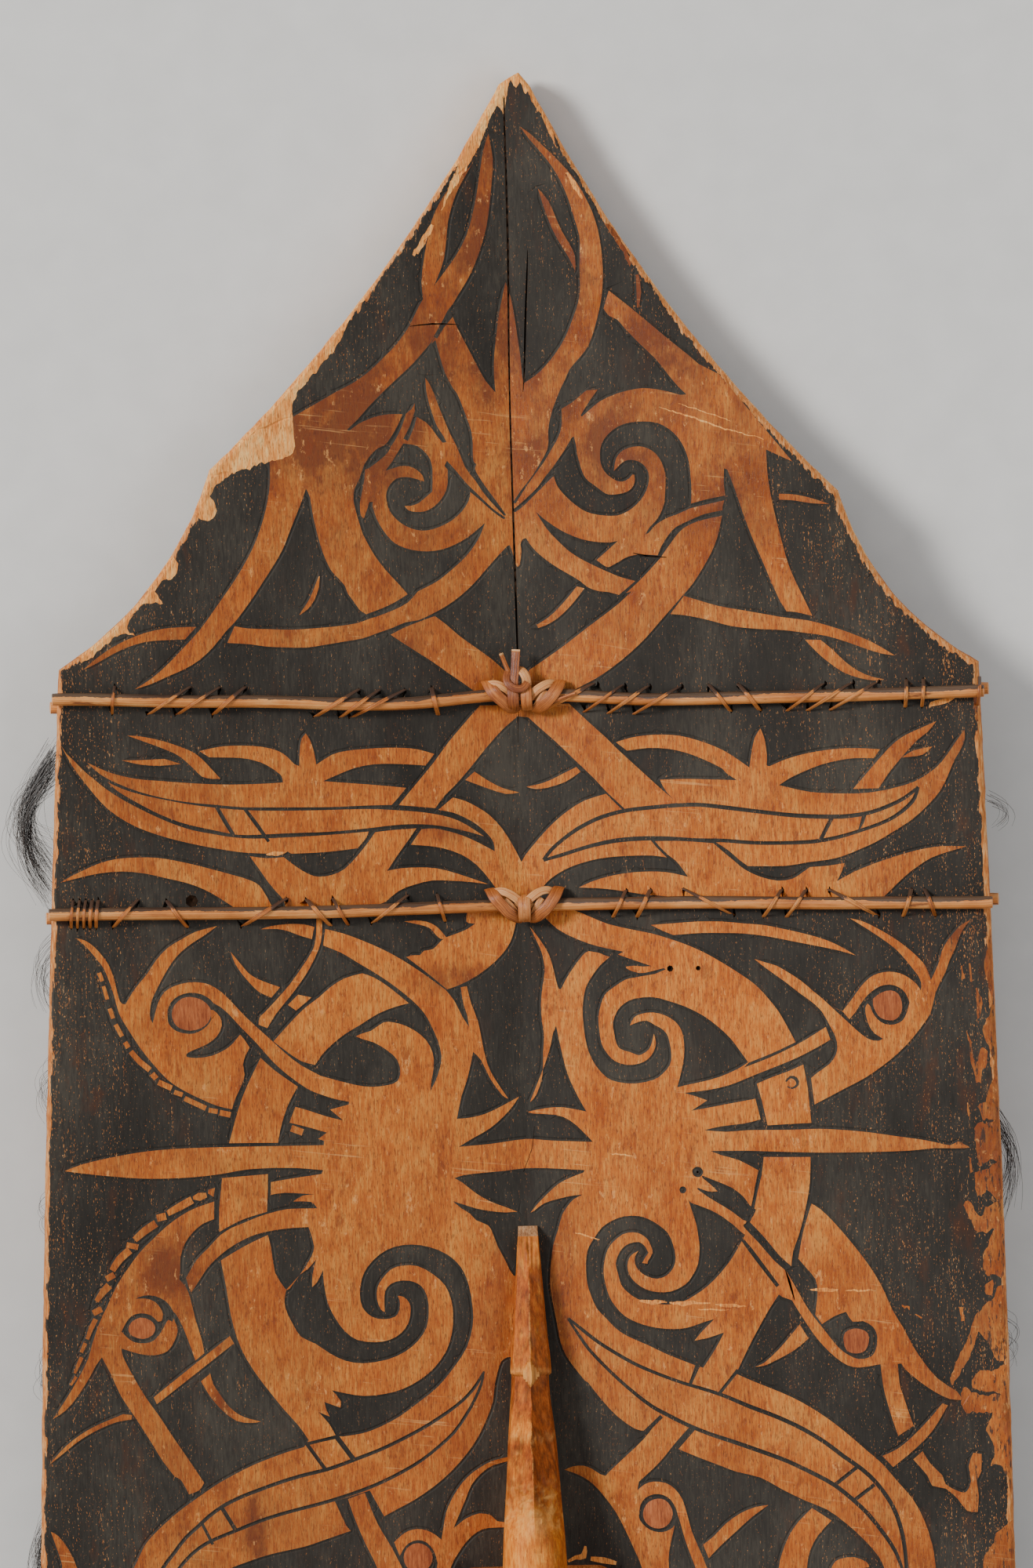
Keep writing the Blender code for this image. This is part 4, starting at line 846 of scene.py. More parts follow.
  96.9,41.4 99.8,48.4 103.8,54.2
wood shape 114.5,30/ 116.5,36.5 119.5,39.3 125.4,39.9 130,37.9 131,36/ 125,35 120.5,32.5 118.5,26 118.5,12
  118.8,0/ 113,0/ 113,14
wood shape 137,79.5/ 141.1,75.1/ 149.8,82.1 156.7,89.1 162.9,99/ 160.8,99.8/ 155.6,93.7 148.6,86.7
  142.8,82.1
wood shape 149,78/ 152.7,81.2/ 155.6,76.3 160.2,71.6 161.4,68.1 166.6,65.2 169.5,65.2 171.3,69.3 170.5,75.1
  172.4,80.3/ 175.6,79.8/ 175.3,72.8 173.6,69.3 174.2,63.5 173.6,57.1/ 169.5,57.7 166,62.3 161.4,66.4
  156.2,67.6 154.4,71.6
wood shape -188.8,83.5/ -184.4,88.5 -179.7,92.6 -174.5,96 -169.3,98.6 -163.4,100.9 -159.9,102.3/
  -156.5,101.8/ -156.7,100.1/ -162.3,99.3 -168.1,97.2 -173.3,94.7 -178.6,91.4 -183.8,87.3
wood shape -189,57.1/ -186.1,55.3 -182,49.5 -178.6,40.8 -177.5,30 -177.8,14 -178.5,0/ -184,0/ -184,16
  -183.6,32 -184.5,42 -186.1,48.4
black line -148,33,1.5 -146.6,40.2,1.5 -141.3,47.2,1.5 -136.7,53,1.5 -132,57.1,1.5 -127.4,61.2,1.5
  -121.6,65.2,1.5 -114.6,68.5,1.5 -107.6,71,1.5 -99.5,73.7,1.5 -91.3,76,1.5 -80.7,78.3,1.5 -74.9,80.1,1.5
  -69.1,82.1,1.5 -60.9,85,1.4 -52.8,88.5,1.4 -43.5,93.1,1.4 -36.5,97.2,1.4 -29.5,101.9,1.3 -24.9,105.9,1.3
  -21.4,110,1.3 -18.4,115,0.8
black line -150.6,0,1.5 -150.3,15,1.5 -149.6,26,1.5 -147.9,34,1.5
black line -143.6,0,1.4 -143.4,15,1.4 -142.9,27,1.4 -141.4,36,1.4 -140,40.4,1.4 -134.4,46.6,1.4
  -128.5,50.7,1.4 -121.6,53.6,1.4 -114.6,56.2,1.4 -107.6,58.8,1.4 -99.5,61.2,1.4 -91.3,63.2,1.4
  -84.2,64.8,1.4 -76,67,1.4 -66.7,69.9,1.4 -58.6,73,1.4 -50.5,76.9,1.4 -43.5,80.9,1.3 -36.5,86.2,1.3
  -30.7,91.4,1.3 -26,97.8,1.3 -22.5,103.6,1.2 -19.6,110,1.1 -18.4,115,0.6
black line -130.1,58.6,1.2 -126,50.2,1.2
black line -122.3,64.6,1.6 -116.6,54.9,1.6
black line -76.8,91,2 -69.8,81.2,1.9
black line -88.8,89,1.5 -81.2,78,1.5
black line -89,88.4,1.3 -82,89.9,1.3 -76.5,91,1.5
wood shape -72.8,66.4/ -66.2,68.7/ -61.5,56.5 -56.3,47.2 -51,36 -48.5,27 -47.5,15 -47,0/ -57,0/ -57.3,15
  -58.8,28 -61.9,39 -66.7,49.5 -70.8,60
wood shape -55.1,48.9/ -52.2,51.5 -49.3,53.2 -45.8,53.8 -42.3,53.2 -38.8,51.3 -36.5,49.3/ -35.6,54.2
  -34.4,60 -32.4,64.6 -29.5,69.3 -26,73.4 -21.4,76.9 -15.6,79.8 -9,81.2/ -9,79.6/ -15.6,78 -20.2,75.1
  -24.3,70.5 -26.6,65.2 -28.9,60 -31.7,53.7/ -29.5,55.3 -26.6,57.4 -21.4,59.2 -16.7,58.2 -14.4,55.9 -9,55.3/
  -9,53.4/ -17.9,53.4 -22.5,51.9 -26.6,48.4 -30.1,43.7 -33,38.5 -35.5,28 -36.5,14 -36.8,0/ -43.5,0/ -43.3,14
  -44.5,26 -47.5,36/ -53,43.5/
black shape -53,43.5/ -51.6,46 -49.3,48.4 -45.8,49.5 -42.3,48.4 -39.6,45 -38.2,40 -39.5,36.5/ -42,35.2
  -46,34.6 -50,35.6/ -49.6,37.5
red shape -40.1,42.5 -41.3,45.9 -44.2,48 -47.6,48 -50.4,46 -51.5,42.8 -50.5,39.3 -47.7,37.1 -44,37
  -41.2,39.2
bare line 13,39.5,1 16,41,1.5 19.2,41.5,2.5 20,45.5,0.8
bare line 22,40.5,1.6 27,39.8,2.4 32,38.6,1.4
red shape -137.7,258.7 -136.5,262 -133.5,264.5 -130.2,265 -126,263.8 -123,261 -122.3,258 -123.7,254.7
  -126.6,252.6 -130.7,251.8 -134.8,252.9 -137,255.3
"""


# Where wear has bared the wood.
WORN = """
bare shape -3,615 -8,609 -12,601 -15,597 -19,590 -24,584 -30,577 -36,569 -42,560 -48,549 -53,542 -60,534
  -64,526 -66,522 -70,516 -74,512 -78,507 -82,503 -85,498 -86,490 -85,480 -88,476 -92,475 -98,474 -104,471.5
  -110,470 -116,465 -119,460/ -126,456/ -135,480/ -60,580/ -10,640/ -1,619/
bare shape -136,440/ -132,436 -133,430 -138,428 -141,424 -138,419 -144,420 -148,417 -152,410 -149,407
  -155,408 -160,404 -170,396/ -175,410/ -150,440/
bare shape -121,462 -116,457 -118,452 -124,453 -127,458/
bare shape 2,630/ 2.2,624 1.4,619 0.4,613 -0.4,609 -2.6,613.5 -4.4,610 -7.4,604 -9.6,597.6 -11,595.4
  -14.4,590 -20,581 -26,572/ -10,612/
bare shape 2,630/ 3.2,622.4 4.8,619.6 6.4,621.4 8.4,617.6 9.2,620 10.6,615.6 12.4,611.4 14.6,608.6
  15.6,604.6 17.8,600.6 20,596/ 14,620/
bare line -29.4,566.5,1.4 -33,560,2.4 -37,554,1.2
bare line 24,586,1 27.4,580,2 30,575,1
wood shape 38,566/ 40.6,561.6 44,556.6 46.4,551 48,548/ 48.6,551 45.6,557.4 42.4,563.4/
wood shape 175.4,206/ 176,200 176.5,196 178,192.5 181,196 183,199 184.5,204 184.8,209 181,209/
wood shape 175.2,190/ 175.5,184 177,180.5 180,183 182.5,180 186,180 186,194 183,193 179,191
wood shape 170.7,177.7/ 172.5,178.8 174.5,176.5 176,173.5 178,173.8 180,177 182.5,178.5 186,178 186,166
  183,168 179.5,166.5 176.5,167.2 174,169 172,173
wood shape 178,158/ 180,161 181,165 183,168 186,168 186,150 181.5,150 179.5,149 178,150.5
wood shape 180,147.2/ 181.5,148 181.6,143 178.8,142.2 178.4,145.5
wood shape 186,146/ 183,145 182,141 179,139 176,136 174.5,133 172.5,130 171.5,126 169,121 166.5,116
  164.2,109.5 164.5,107.3/ 167,110 169.5,114 172,119 174,122.5 175,127 177,126 179,124 181,119.5 182.5,116
  186,117/
wood shape 172.3,108.5/ 173,105.5 178,104.8 183,104 186,103/ 186,115/ 181.5,112.5 177,113 174,111
wood shape 168,104/ 170,106.5 173,104 178,103.2 182,104 186,103/ 186,95 181.5,96 178,95.5 174,96.5 171,96
  168.5,98.5
wood shape 181,99/ 179.5,93.7 177.7,89.1 180,85.6 180.6,78.6 178.9,75.7 183.5,75 185.2,71.5 187.5,66
  187.5,99/
wood shape 175.3,30/ 175.5,37 176.5,41 179,44 181,49 184,51 188,52 188,20/ 183,24
wood shape 172.8,246.3/ 174.2,240 174.7,235.2 176.5,224.8/ 178.3,224.8/ 178.9,230.6 180.6,231 181.2,237.5/
  178.9,238.7 177.6,234 176,235.2 174.4,242
wood shape 177,216/ 178.8,210.5 181.2,211.6 186,211 186,229 182,224 180,218.5
wood shape 175.4,207.5/ 177.7,203.5 178.9,197.7 176.5,193 178.3,192.4 181.2,195.3 186,195 186,212 181,208.5
  178,209.5
wood line 171.8,271,1 172.6,265.5,1.4
wood line 175,271.5,0.8 175.3,264.5,1
wood line 177.5,262,0.8 178.4,256,2 178.2,251,0.8
wood line 173,217.8,0.8 173.6,212.5,1.2
wood line 173.6,196.5,0.8 174,190,1
wood shape 186,330/ 184.2,322 184.6,300 183.6,285 181.6,277 180.6,270 182.4,262 183.4,256 181.8,250
  181.2,243 183.8,236 184.6,228 187,222/ 189,260/ 188,330/
wood shape 186.6,268/ 184.8,262 183.6,255 182.2,251 180.2,248.6 179.6,244.4 181.6,240 182.4,236.4 183.8,232
  184.2,226 186,220/ 189,221/ 188.6,266/
wood line 180.5,380,0.8 179.3,372,1.6 180,366,0.8
wood line 146,137.8,0.7 149,137.4,0.8
wood line 151,134.6,0.7 153.5,133.7,0.7
wood line 169,137,1.2 169.5,132.5,1.4
wood line 164.5,108.5,1.5 168,112.5,1.2
"""

# The front, which the pattern of the back is carried over to in a plainer form: one quarter, right
# of the ridge, in the same terms as the back.
FRONT = """
wood shape 24,560/ 40,520 58,496 78,478 98,462/ 90,450 70,458 50,474 34,498 22,530
wood shape 20,440/ 44,436 70,440 96,430 118,412 134,398/ 118,400 96,410 74,414 48,410 22,404/ 26,420
wood shape 16,366 30,358 60,350 96,352 132,360 164,366/ 150,352 120,340 84,334 50,336 24,346
wood shape 30,120/ 24,160 28,200 44,236 72,262 108,272 140,262 160,236 166,200 158,168 138,150/ 144,176
  140,204 126,226 102,236 78,228 62,208 56,180 60,150 72,128/ 96,110 100,80 80,60 50,52 24,56/ 26,84
black shape 84,196 92,206 106,208 116,198 116,184 106,174 92,174 84,184
wood shape 86,195 93,203.5 105,205.5 113.5,196.5 113.5,185.5 105,176.5 93,176.5 86,185
black shape 92,191 96,197.5 103,198.5 108,193 107.5,187 102,182.5 95.5,184
red shape 94,191 97,196 102.5,196.5 106,192.5 105.5,188 101.5,184.5 96.5,185.5
wood shape 172,268/ 178,220 178,160 172,108/ 168,160 166,214
wood shape 120,120/ 140,132 156,124 164,100 158,70 140,48 118,36/ 134,60 140,84 134,104
wood shape 22,36/ 46,30 80,30 112,18 140,0/ 108,0 80,8 48,12 22,12
"""


def parse(text):
    """The figures in a block of text, as (colour, kind, [(numbers, is a corner)])."""
    figures = []
    for line in text.strip().replace("\n  ", " ").splitlines():
        if line.startswith("#"):
            continue
        colour, kind, *points = line.split()
        values = [([float(v) for v in p.rstrip("/").split(",")], p.endswith("/")) for p in points]
        figures.append((colour, kind, values))
    return figures


def between(before, start, end, after, t):
    """A point of the smooth curve from start to end."""
    return tuple(
        0.5 * (2 * b + (c - a) * t + (2 * a - 5 * b + 4 * c - d) * t * t + (3 * b - a - 3 * c + d) * t**3)
        for a, b, c, d in zip(before, start, end, after, strict=True)
    )


def smooth(points, closed=True, bend=0.08, longest=5.0):
    """A smooth curve through the points, sharp at the corners, with only the points its bends need."""
    count = len(points)
    curve = []
    for i in range(count if closed else count - 1):
        start, start_corner = points[i]
        end, end_corner = points[(i + 1) % count]
        before = points[i - 1][0] if closed or i else start
        after = points[(i + 2) % count][0] if closed or i + 2 < count else end
        if start_corner:
            before = [2 * a - b for a, b in zip(start, end, strict=True)]
        if end_corner:
            after = [2 * b - a for a, b in zip(start, end, strict=True)]
        chord = math.dist(start[:2], end[:2])
        bow = 0.0
        for t in (0.25, 0.5, 0.75):
            x, y = between(before, start, end, after, t)[:2]
            across = (x - start[0]) * (end[1] - start[1]) - (y - start[1]) * (end[0] - start[0])
            bow = max(bow, abs(across) / max(chord, 0.01))
        steps = max(1, math.ceil(math.sqrt(bow / bend)), math.ceil(chord / longest))
        curve += [between(before, start, end, after, j / steps) for j in range(steps)]
    if not closed:
        curve.append(tuple(points[-1][0]))
    return curve


def direction(points, i, closed):
    """The unit direction along a run of points at point i."""
    last = len(points) - 1
    one = points[i - 1] if closed or i else points[0]
    two = points[(i + 1) % len(points)] if closed or i < last else points[last]
    dx, dy = two[0] - one[0], two[1] - one[1]
    length = math.hypot(dx, dy) or 1.0
    return dx / length, dy / length


def outline(kind, points):
    """The closed outline of a figure. A line has a width at each of its points."""
    if kind == "shape":
        return smooth(points)
    middle = smooth(points, closed=False)
    left, right = [], []
    for i, (x, y, width) in enumerate(middle):
        dx, dy = direction(middle, i, closed=False)
        half = max(width, 0.1) / 2
        left.append((x - dy * half, y + dx * half))
        right.append((x + dy * half, y - dx * half))
    return left + right[::-1]


def quadratic(start, pull, end, steps):
    """Points along a quadratic curve, without its end point."""
    points = []
    for i in range(steps):
        t = i / steps
        weights = ((1 - t) ** 2, 2 * t * (1 - t), t * t)
        points.append(
            tuple(sum(w * p[axis] for w, p in zip(weights, (start, pull, end))) for axis in (0, 1))
        )
    return points


def wing_end(side):
    """One wing's outline from the tip to the widest point, with the small waver of hand work."""
    middle = (HALF_WIDTH[side], 0.0)
    points = quadratic(TIP[side], FLANK_PULL[side], SHOULDER[side], 56)
    points += quadratic(SHOULDER[side], WAIST_PULL[side], CORNER[side], 30)
    points += quadratic(CORNER[side], SIDE_PULL[side], middle, 120)
    wavered = []
    for x, y in points:
        shift = 0.45 * noise.noise(Vector((x / 31, y / 31, len(side))))
        shift += 0.2 * noise.noise(Vector((x / 6, y / 6, len(side) + 5)))
        wavered.append((x - abs(shift), y))
    return [*wavered, middle]


def board_outline():
    """The board's plan outline, clockwise from the upper tip."""
    wings = {}
    for side, sign in (("left", -1), ("right", 1)):
        upper = [(sign * x, y) for x, y in wing_end(side)]
        wings[side] = upper + [(x, -y) for x, y in reversed(upper[:-1])]
    lower_tip = (TIP_TOP[0], -TIP_TOP[1])
    return [TIP_TOP, *wings["right"], lower_tip, *reversed(wings["left"])]


def back_z(x):
    """Height of the back, the side with the handle."""
    return CREASE_Z + BACK_RISE * abs(x)


def front_z(x):
    """Height of the front, which has a flat strip along its ridge."""
    return RIDGE_Z + UNDER_RISE * max(abs(x) - RIDGE_HALF, 0.0)


def adze(x, y, seed):
    """The shallow unevenness that hand tools leave along the grain."""
    broad = noise.noise(Vector((x / 22, y / 70, seed)))
    fine = noise.noise(Vector((x / 5.5, y / 24, seed + 9)))
    return 0.35 * broad + 0.09 * fine


def tree_of(points):
    """A search tree over flat points."""
    tree = KDTree(len(points))
    for i, point in enumerate(points):
        tree.insert((point[0], point[1], 0.0), i)
    tree.balance()
    return tree


def close_samples(points, closed=True, step=0.6):
    """Points along an outline, close together."""
    samples = []
    for i in range(len(points) if closed else len(points) - 1):
        one, two = points[i], points[(i + 1) % len(points)]
        steps = max(1, int(math.dist(one, two) / step))
        for j in range(steps):
            t = j / steps
            samples.append((one[0] + (two[0] - one[0]) * t, one[1] + (two[1] - one[1]) * t))
    return samples


def inside(polygon, points):
    """Which of the points lie in the polygon."""
    x, y = points[:, 0], points[:, 1]
    hit = np.zeros(len(points), bool)
    for (x0, y0), (x1, y1) in zip(polygon, polygon[1:] + polygon[:1], strict=True):
        if y0 == y1:
            continue
        crosses = (y0 > y) != (y1 > y)
        hit ^= crosses & (x < (x1 - x0) * (y - y0) / (y1 - y0) + x0)
    return hit


def top_figure(outlines, points):
    """For each point, the number of the last outline that it lies in."""
    points = np.array(points)
    found = np.zeros(len(points), int)
    for number, polygon in enumerate(outlines):
        corners = np.array(polygon)
        low, high = corners.min(0), corners.max(0)
        near = np.nonzero(((points >= low) & (points <= high)).all(1))[0]
        if len(near):
            found[near[inside(polygon, points[near])]] = number
    return found


def anticlockwise(polygon):
    """The polygon, turned so that it runs anticlockwise."""
    area = sum(x0 * y1 - x1 * y0 for (x0, y0), (x1, y1) in zip(polygon, polygon[1:] + polygon[:1]))
    return polygon if area > 0 else polygon[::-1]


class Plan:
    """A flat area with figures drawn on it, which becomes a carved surface."""

    def __init__(self, edge):
        self.outlines = [anticlockwise(edge)]
        self.colours = ["black"]
        self.loose = []
        self.lines = []

    def draw(self, colour, polygon):
        self.outlines.append(anticlockwise(polygon))
        self.colours.append(colour)

    def draw_text(self, text, mirror):
        for colour, kind, points in parse(text):
            polygon = outline(kind, points)
            self.draw(colour, [(x, mirror * y) for x, y in polygon])

    def add_loose(self, point, drop=0.0):
        """A point that belongs to no outline, and how far it lies below the surface."""
        self.loose.append((point, drop))

    def groove_borders(self):
        """Loose points along every border of the black ground, so that a groove runs just inside it."""
        borders = [s for polygon in self.outlines[1:] for s in close_samples(polygon)]
        tree = tree_of(borders)
        spots = []
        for polygon in self.outlines[1:]:
            for i, (x, y) in enumerate(polygon):
                dx, dy = direction(polygon, i, closed=True)
                for side in (-1, 1):
                    spots.append((x, y, -dy * side, dx * side))
        spots = np.array(spots)
        place, normal = spots[:, :2], spots[:, 2:]
        near = top_figure(self.outlines, place + normal * BESIDE)
        across = top_figure(self.outlines, place - normal * BESIDE)
        grooved = {i for i, colour in enumerate(self.colours) if colour == "black"}
        carved = {i for i, colour in enumerate(self.colours) if colour in ("wood", "red")}
        for spot, one, two in zip(spots, near, across, strict=True):
            if one not in grooved or two not in carved:
                continue
            for offset, drop, clear in GROOVE_POINTS:
                point = spot[:2] + spot[2:] * offset
                if tree.find((point[0], point[1], 0.0))[2] > clear:
                    self.add_loose((point[0], point[1]), drop)
        return tree

    def fill(self, tree, step=5.0):
        """Loose points over the whole area."""
        draw = random.Random(7)
        edge = np.array(self.outlines[0])
        low, high = edge.min(0), edge.max(0)
        for row in range(int((high[1] - low[1]) / step) + 1):
            for column in range(int((high[0] - low[0]) / step) + 1):
                x = low[0] + (column + draw.uniform(0.2, 0.8)) * step
                y = low[1] + (row + draw.uniform(0.2, 0.8)) * step
                if tree.find((x, y, 0.0))[2] > 1.9:
                    self.add_loose((x, y))

    def triangulate(self):
        """(points, drops, triangles, colours) of the area."""
        points, edges = [], []
        for run, closed in [(p, True) for p in self.outlines] + [(p, False) for p in self.lines]:
            start, count = len(points), len(run)
            edges += [(start + i, start + (i + 1) % count) for i in range(count if closed else count - 1)]
            points += run
        drops = [0.0] * len(points) + [drop for _, drop in self.loose]
        points += [point for point, _ in self.loose]
        face = list(range(len(self.outlines[0])))
        found, _, triangles, origins, _, areas = delaunay_2d_cdt(
            [Vector(p) for p in points], edges, [face], 1, 1e-4, True
        )
        flat = [tuple(p) for p in found]
        shown = [triangle for triangle, area in zip(triangles, areas, strict=True) if area]
        middles = [[sum(flat[i][axis] for i in triangle) / 3 for axis in (0, 1)] for triangle in shown]
        colours = [self.colours[number] for number in top_figure(self.outlines, middles)]
        sunk = [max((drops[i] for i in origin), default=0.0) for origin in origins]
        used = sorted({i for triangle in shown for i in triangle})
        number = {old: new for new, old in enumerate(used)}
        shown = [[number[i] for i in triangle] for triangle in shown]
        return [flat[i] for i in used], [sunk[i] for i in used], shown, colours


class Carving:
    """The body's mesh as it grows: its points in millimetres, its faces and the finish of each."""

    def __init__(self):
        self.points = []
        self.faces = []
        self.finishes = []
        self.values = {"edge": [], "worn": [], "stain": []}

    def add(self, points, faces, finishes, edge=None, worn=None, stain=None):
        start = len(self.points)
        self.points += points
        self.faces += [[start + i for i in face] for face in faces]
        self.finishes += finishes
        for name, values in (("edge", edge), ("worn", worn), ("stain", stain)):
            self.values[name] += values if values is not None else [0.0] * len(points)
        return start


def rounded_rectangle(half_x, half_y, radius, inset=0.0):
    """The corners of a rectangle with round corners, moved inwards by inset."""
    points = []
    for turn, (sx, sy) in enumerate(((1, 1), (-1, 1), (-1, -1), (1, -1))):
        for step in range(7):
            angle = math.radians(90 * turn + 15 * step)
            reach = max(radius - inset, 0.3)
            points.append(
                (
                    sx * (half_x - radius) + reach * math.cos(angle),
                    sy * (half_y - radius) + reach * math.sin(angle),
                )
            )
    return points


def hollow_inset(x, y):
    """How far a point lies inside the hollow's outline."""
    dx = abs(x) - (HOLLOW_HALF[0] - HOLLOW_ROUND)
    dy = abs(y) - (HOLLOW_HALF[1] - HOLLOW_ROUND)
    outside = math.hypot(max(dx, 0.0), max(dy, 0.0)) + min(max(dx, dy), 0.0)
    return HOLLOW_ROUND - outside


def hollow_z(inset):
    """Height of the hollow's scooped floor."""
    short = max(HOLLOW_ROUND - inset, 0.0)
    return HOLLOW_FLOOR + HOLLOW_ROUND - math.sqrt(max(HOLLOW_ROUND**2 - short**2, 0.0))


def draw_hollow(plan):
    plan.draw("hollow", rounded_rectangle(*HOLLOW_HALF, HOLLOW_ROUND, 0.02))
    for inset in (0.25, 0.7, 1.4, 2.4, 4.0, 6.0):
        for point in rounded_rectangle(*HOLLOW_HALF, HOLLOW_ROUND, inset):
            plan.add_loose(point)
        for i in range(-8, 9):
            for sign in (-1, 1):
                plan.add_loose((sign * (HOLLOW_HALF[0] - inset), i * 3.6))
                plan.add_loose((i * 2.9, sign * (HOLLOW_HALF[1] - inset)))


def draw_crack(plan, points, depth=2.4):
    """A crack along the grain: a dark slot with a sunk middle, its dark partly dirt and partly painted shade.
    Each point is (x, y, width).
    """
    corners = [(list(p), False) for p in points]
    plan.draw("gap", outline("line", corners))
    for x, y, width in smooth(corners, closed=False):
        if width > 0.35:
            plan.add_loose((x, y), depth * min(width, 1.0))


def draw_cane_holes(plan, row, end):
    """The slots over and under a back cane that its lacing goes through."""
    for low, high in LACING[row]:
        for x, side in ((low, -1), (high, 1)):
            if abs(x) > 179:
                continue
            y = end * cane_line(row, x)
            reach = side * end
            tall = 1.6 + 1.6 * abs(noise.noise(Vector((x, y, 1.0))))
            start = y + reach * (HOLE_OFF - 0.9)
            draw_crack(
                plan,
                ((x, start, 1.5), (x + 0.2, start + reach * 0.9, 1.1), (x - 0.1, start + reach * tall, 0.2)),
            )


def surface_values(points, tree):
    """For the finishes: each point's distance from the edge, how worn it is, and how stained, with painted
    shade over the left wing in the stain.
    """
    edge, worn, stain = [], [], []
    for x, y in points:
        away = tree.find((x, y, 0.0))[2]
        edge.append(min(away, 40.0) - (1.1 if x > 60 else 0.3))
        sides = max(0.0, (abs(x) - (80.0 if x > 0 else 105.0)) / 95.0)
        rim = max(0.0, 1.0 - away / 34.0)
        worn.append(min(1.0, 0.18 + 0.56 * sides + 0.36 * rim))
        mark = back_tone(abs(y))
        # Painted shade darkens the left wing, which tilts away from the key light; the wood also darkens past
        # 110 mm to the right.
        mark += 0.2 * soft_step((-50.0 - x) / 110.0) + 0.18 * soft_step((x - 110.0) / 60.0)
        for sx, sy, rx, ry, strength in STAINS:
            mark += strength * math.exp(-(((x - sx) / rx) ** 2) - ((abs(y) - sy) / ry) ** 2)
        stain.append(min(max(mark, 0.0), 1.0))
    return edge, worn, stain


def soft_step(t):
    t = min(max(t, 0.0), 1.0)
    return t * t * (3 - 2 * t)


def back_tone(along):
    """How dark the board's wood is at a place along it."""
    if along > LIGHTEST_AT:
        return LIGHTEST + (DARK_TIP - LIGHTEST) * (along - LIGHTEST_AT) / (TIP_TOP[1] - LIGHTEST_AT)
    return DARK_MIDDLE + (LIGHTEST - DARK_MIDDLE) * along / LIGHTEST_AT


def read_along(table, place):
    """The values at a place in a table of (place, values), whose places fall."""
    for (p0, *v0), (p1, *v1) in zip(table, table[1:], strict=False):
        if place >= p1:
            t = min(max((p0 - place) / (p0 - p1), 0.0), 1.0)
            return blend(tuple(v0), tuple(v1), t)
    return tuple(table[-1][1:])


def add_back(body):
    """The back: the pattern, the canes' slots, the cracks and the hollow. Returns its edge loop."""
    plan = Plan(board_outline())
    for mirror in (1, -1):
        for text in (UPPER, MIDDLE, LOWER):
            plan.draw_text(text, mirror)
    tree = plan.groove_borders()
    draw_torn(plan, WORN, 0.55)
    draw_torn(plan, SCUFFS, 0.22)
    for end in (1, -1):
        for row in LACING:
            draw_cane_holes(plan, row, end)
        for crack in CRACKS:
            draw_crack(plan, [(x, end * y, width) for x, y, width in crack])
        for x, y, radius in DENTS:
            # Each dent is coloured with the gap finish, whose dark is partly painted shade.
            ring = [(x + radius * math.cos(a), end * y + radius * math.sin(a)) for a in SEVENTHS]
            plan.draw("gap", ring)
            plan.add_loose((x, end * y), 2.0)
    draw_hollow(plan)
    plan.lines.append([(0.0, 617.0 - 4.0 * i) for i in range(309)])
    edge = plan.outlines[0]
    edge_tree = tree_of(close_samples(edge, step=0.4))
    for i, (x, y) in enumerate(edge):
        dx, dy = direction(edge, i, closed=True)
        plan.add_loose((x - dy * 1.3, y + dx * 1.3))
    plan.fill(tree)
    flat, drops, triangles, colours = plan.triangulate()
    edge_values, worn, stain = surface_values(flat, edge_tree)
    points = []
    for (x, y), drop, away in zip(flat, drops, edge_values, strict=True):
        z = back_z(x) + adze(x, y, 1) - drop
        if away < 0.9:
            z -= (0.9 - away) * (0.8 + 0.7 * noise.noise(Vector((x / 9, y / 9, 4))))
        inset = hollow_inset(x, y)
        if inset > 0:
            z = min(z, hollow_z(inset))
        points.append((x, y, z))
    body.add(points, upward(points, triangles), colours, edge_values, worn, stain)
    return edge_loop(points, triangles)


def upward(points, triangles):
    """The triangles turned so that they face up."""
    turned = []
    for a, b, c in triangles:
        (ax, ay), (bx, by), (cx, cy) = points[a][:2], points[b][:2], points[c][:2]
        area = (bx - ax) * (cy - ay) - (by - ay) * (cx - ax)
        turned.append([a, b, c] if area > 0 else [a, c, b])
    return turned


def edge_loop(points, triangles):
    """The numbers of the points round the edge, anticlockwise seen from above."""
    sides = set()
    for a, b, c in upward(points, triangles):
        sides |= {(a, b), (b, c), (c, a)}
    following = {a: b for a, b in sides if (b, a) not in sides}
    loop = [next(iter(following))]
    while following[loop[-1]] != loop[0]:
        loop.append(following[loop[-1]])
    return loop


def draw_torn(plan, text, size):
    """Figures with torn edges, on both ends."""
    for colour, kind, points in parse(text):
        for mirror in (1, -1):
            plan.draw(colour, ragged([(x, mirror * y) for x, y in outline(kind, points)], size))


def ragged(polygon, size):
    """The polygon with a torn edge."""
    points = close_samples(polygon, step=0.9)
    torn = []
    for x, y in points:
        shift = noise.noise_vector(Vector((x / 2.1, y / 4.2, 2.0)))
        fine = noise.noise_vector(Vector((x / 0.9, y / 1.8, 5.0)))
        torn.append((x + size * (shift.x + 0.7 * fine.x), y + 2.2 * size * (shift.y + 0.7 * fine.y)))
    return torn


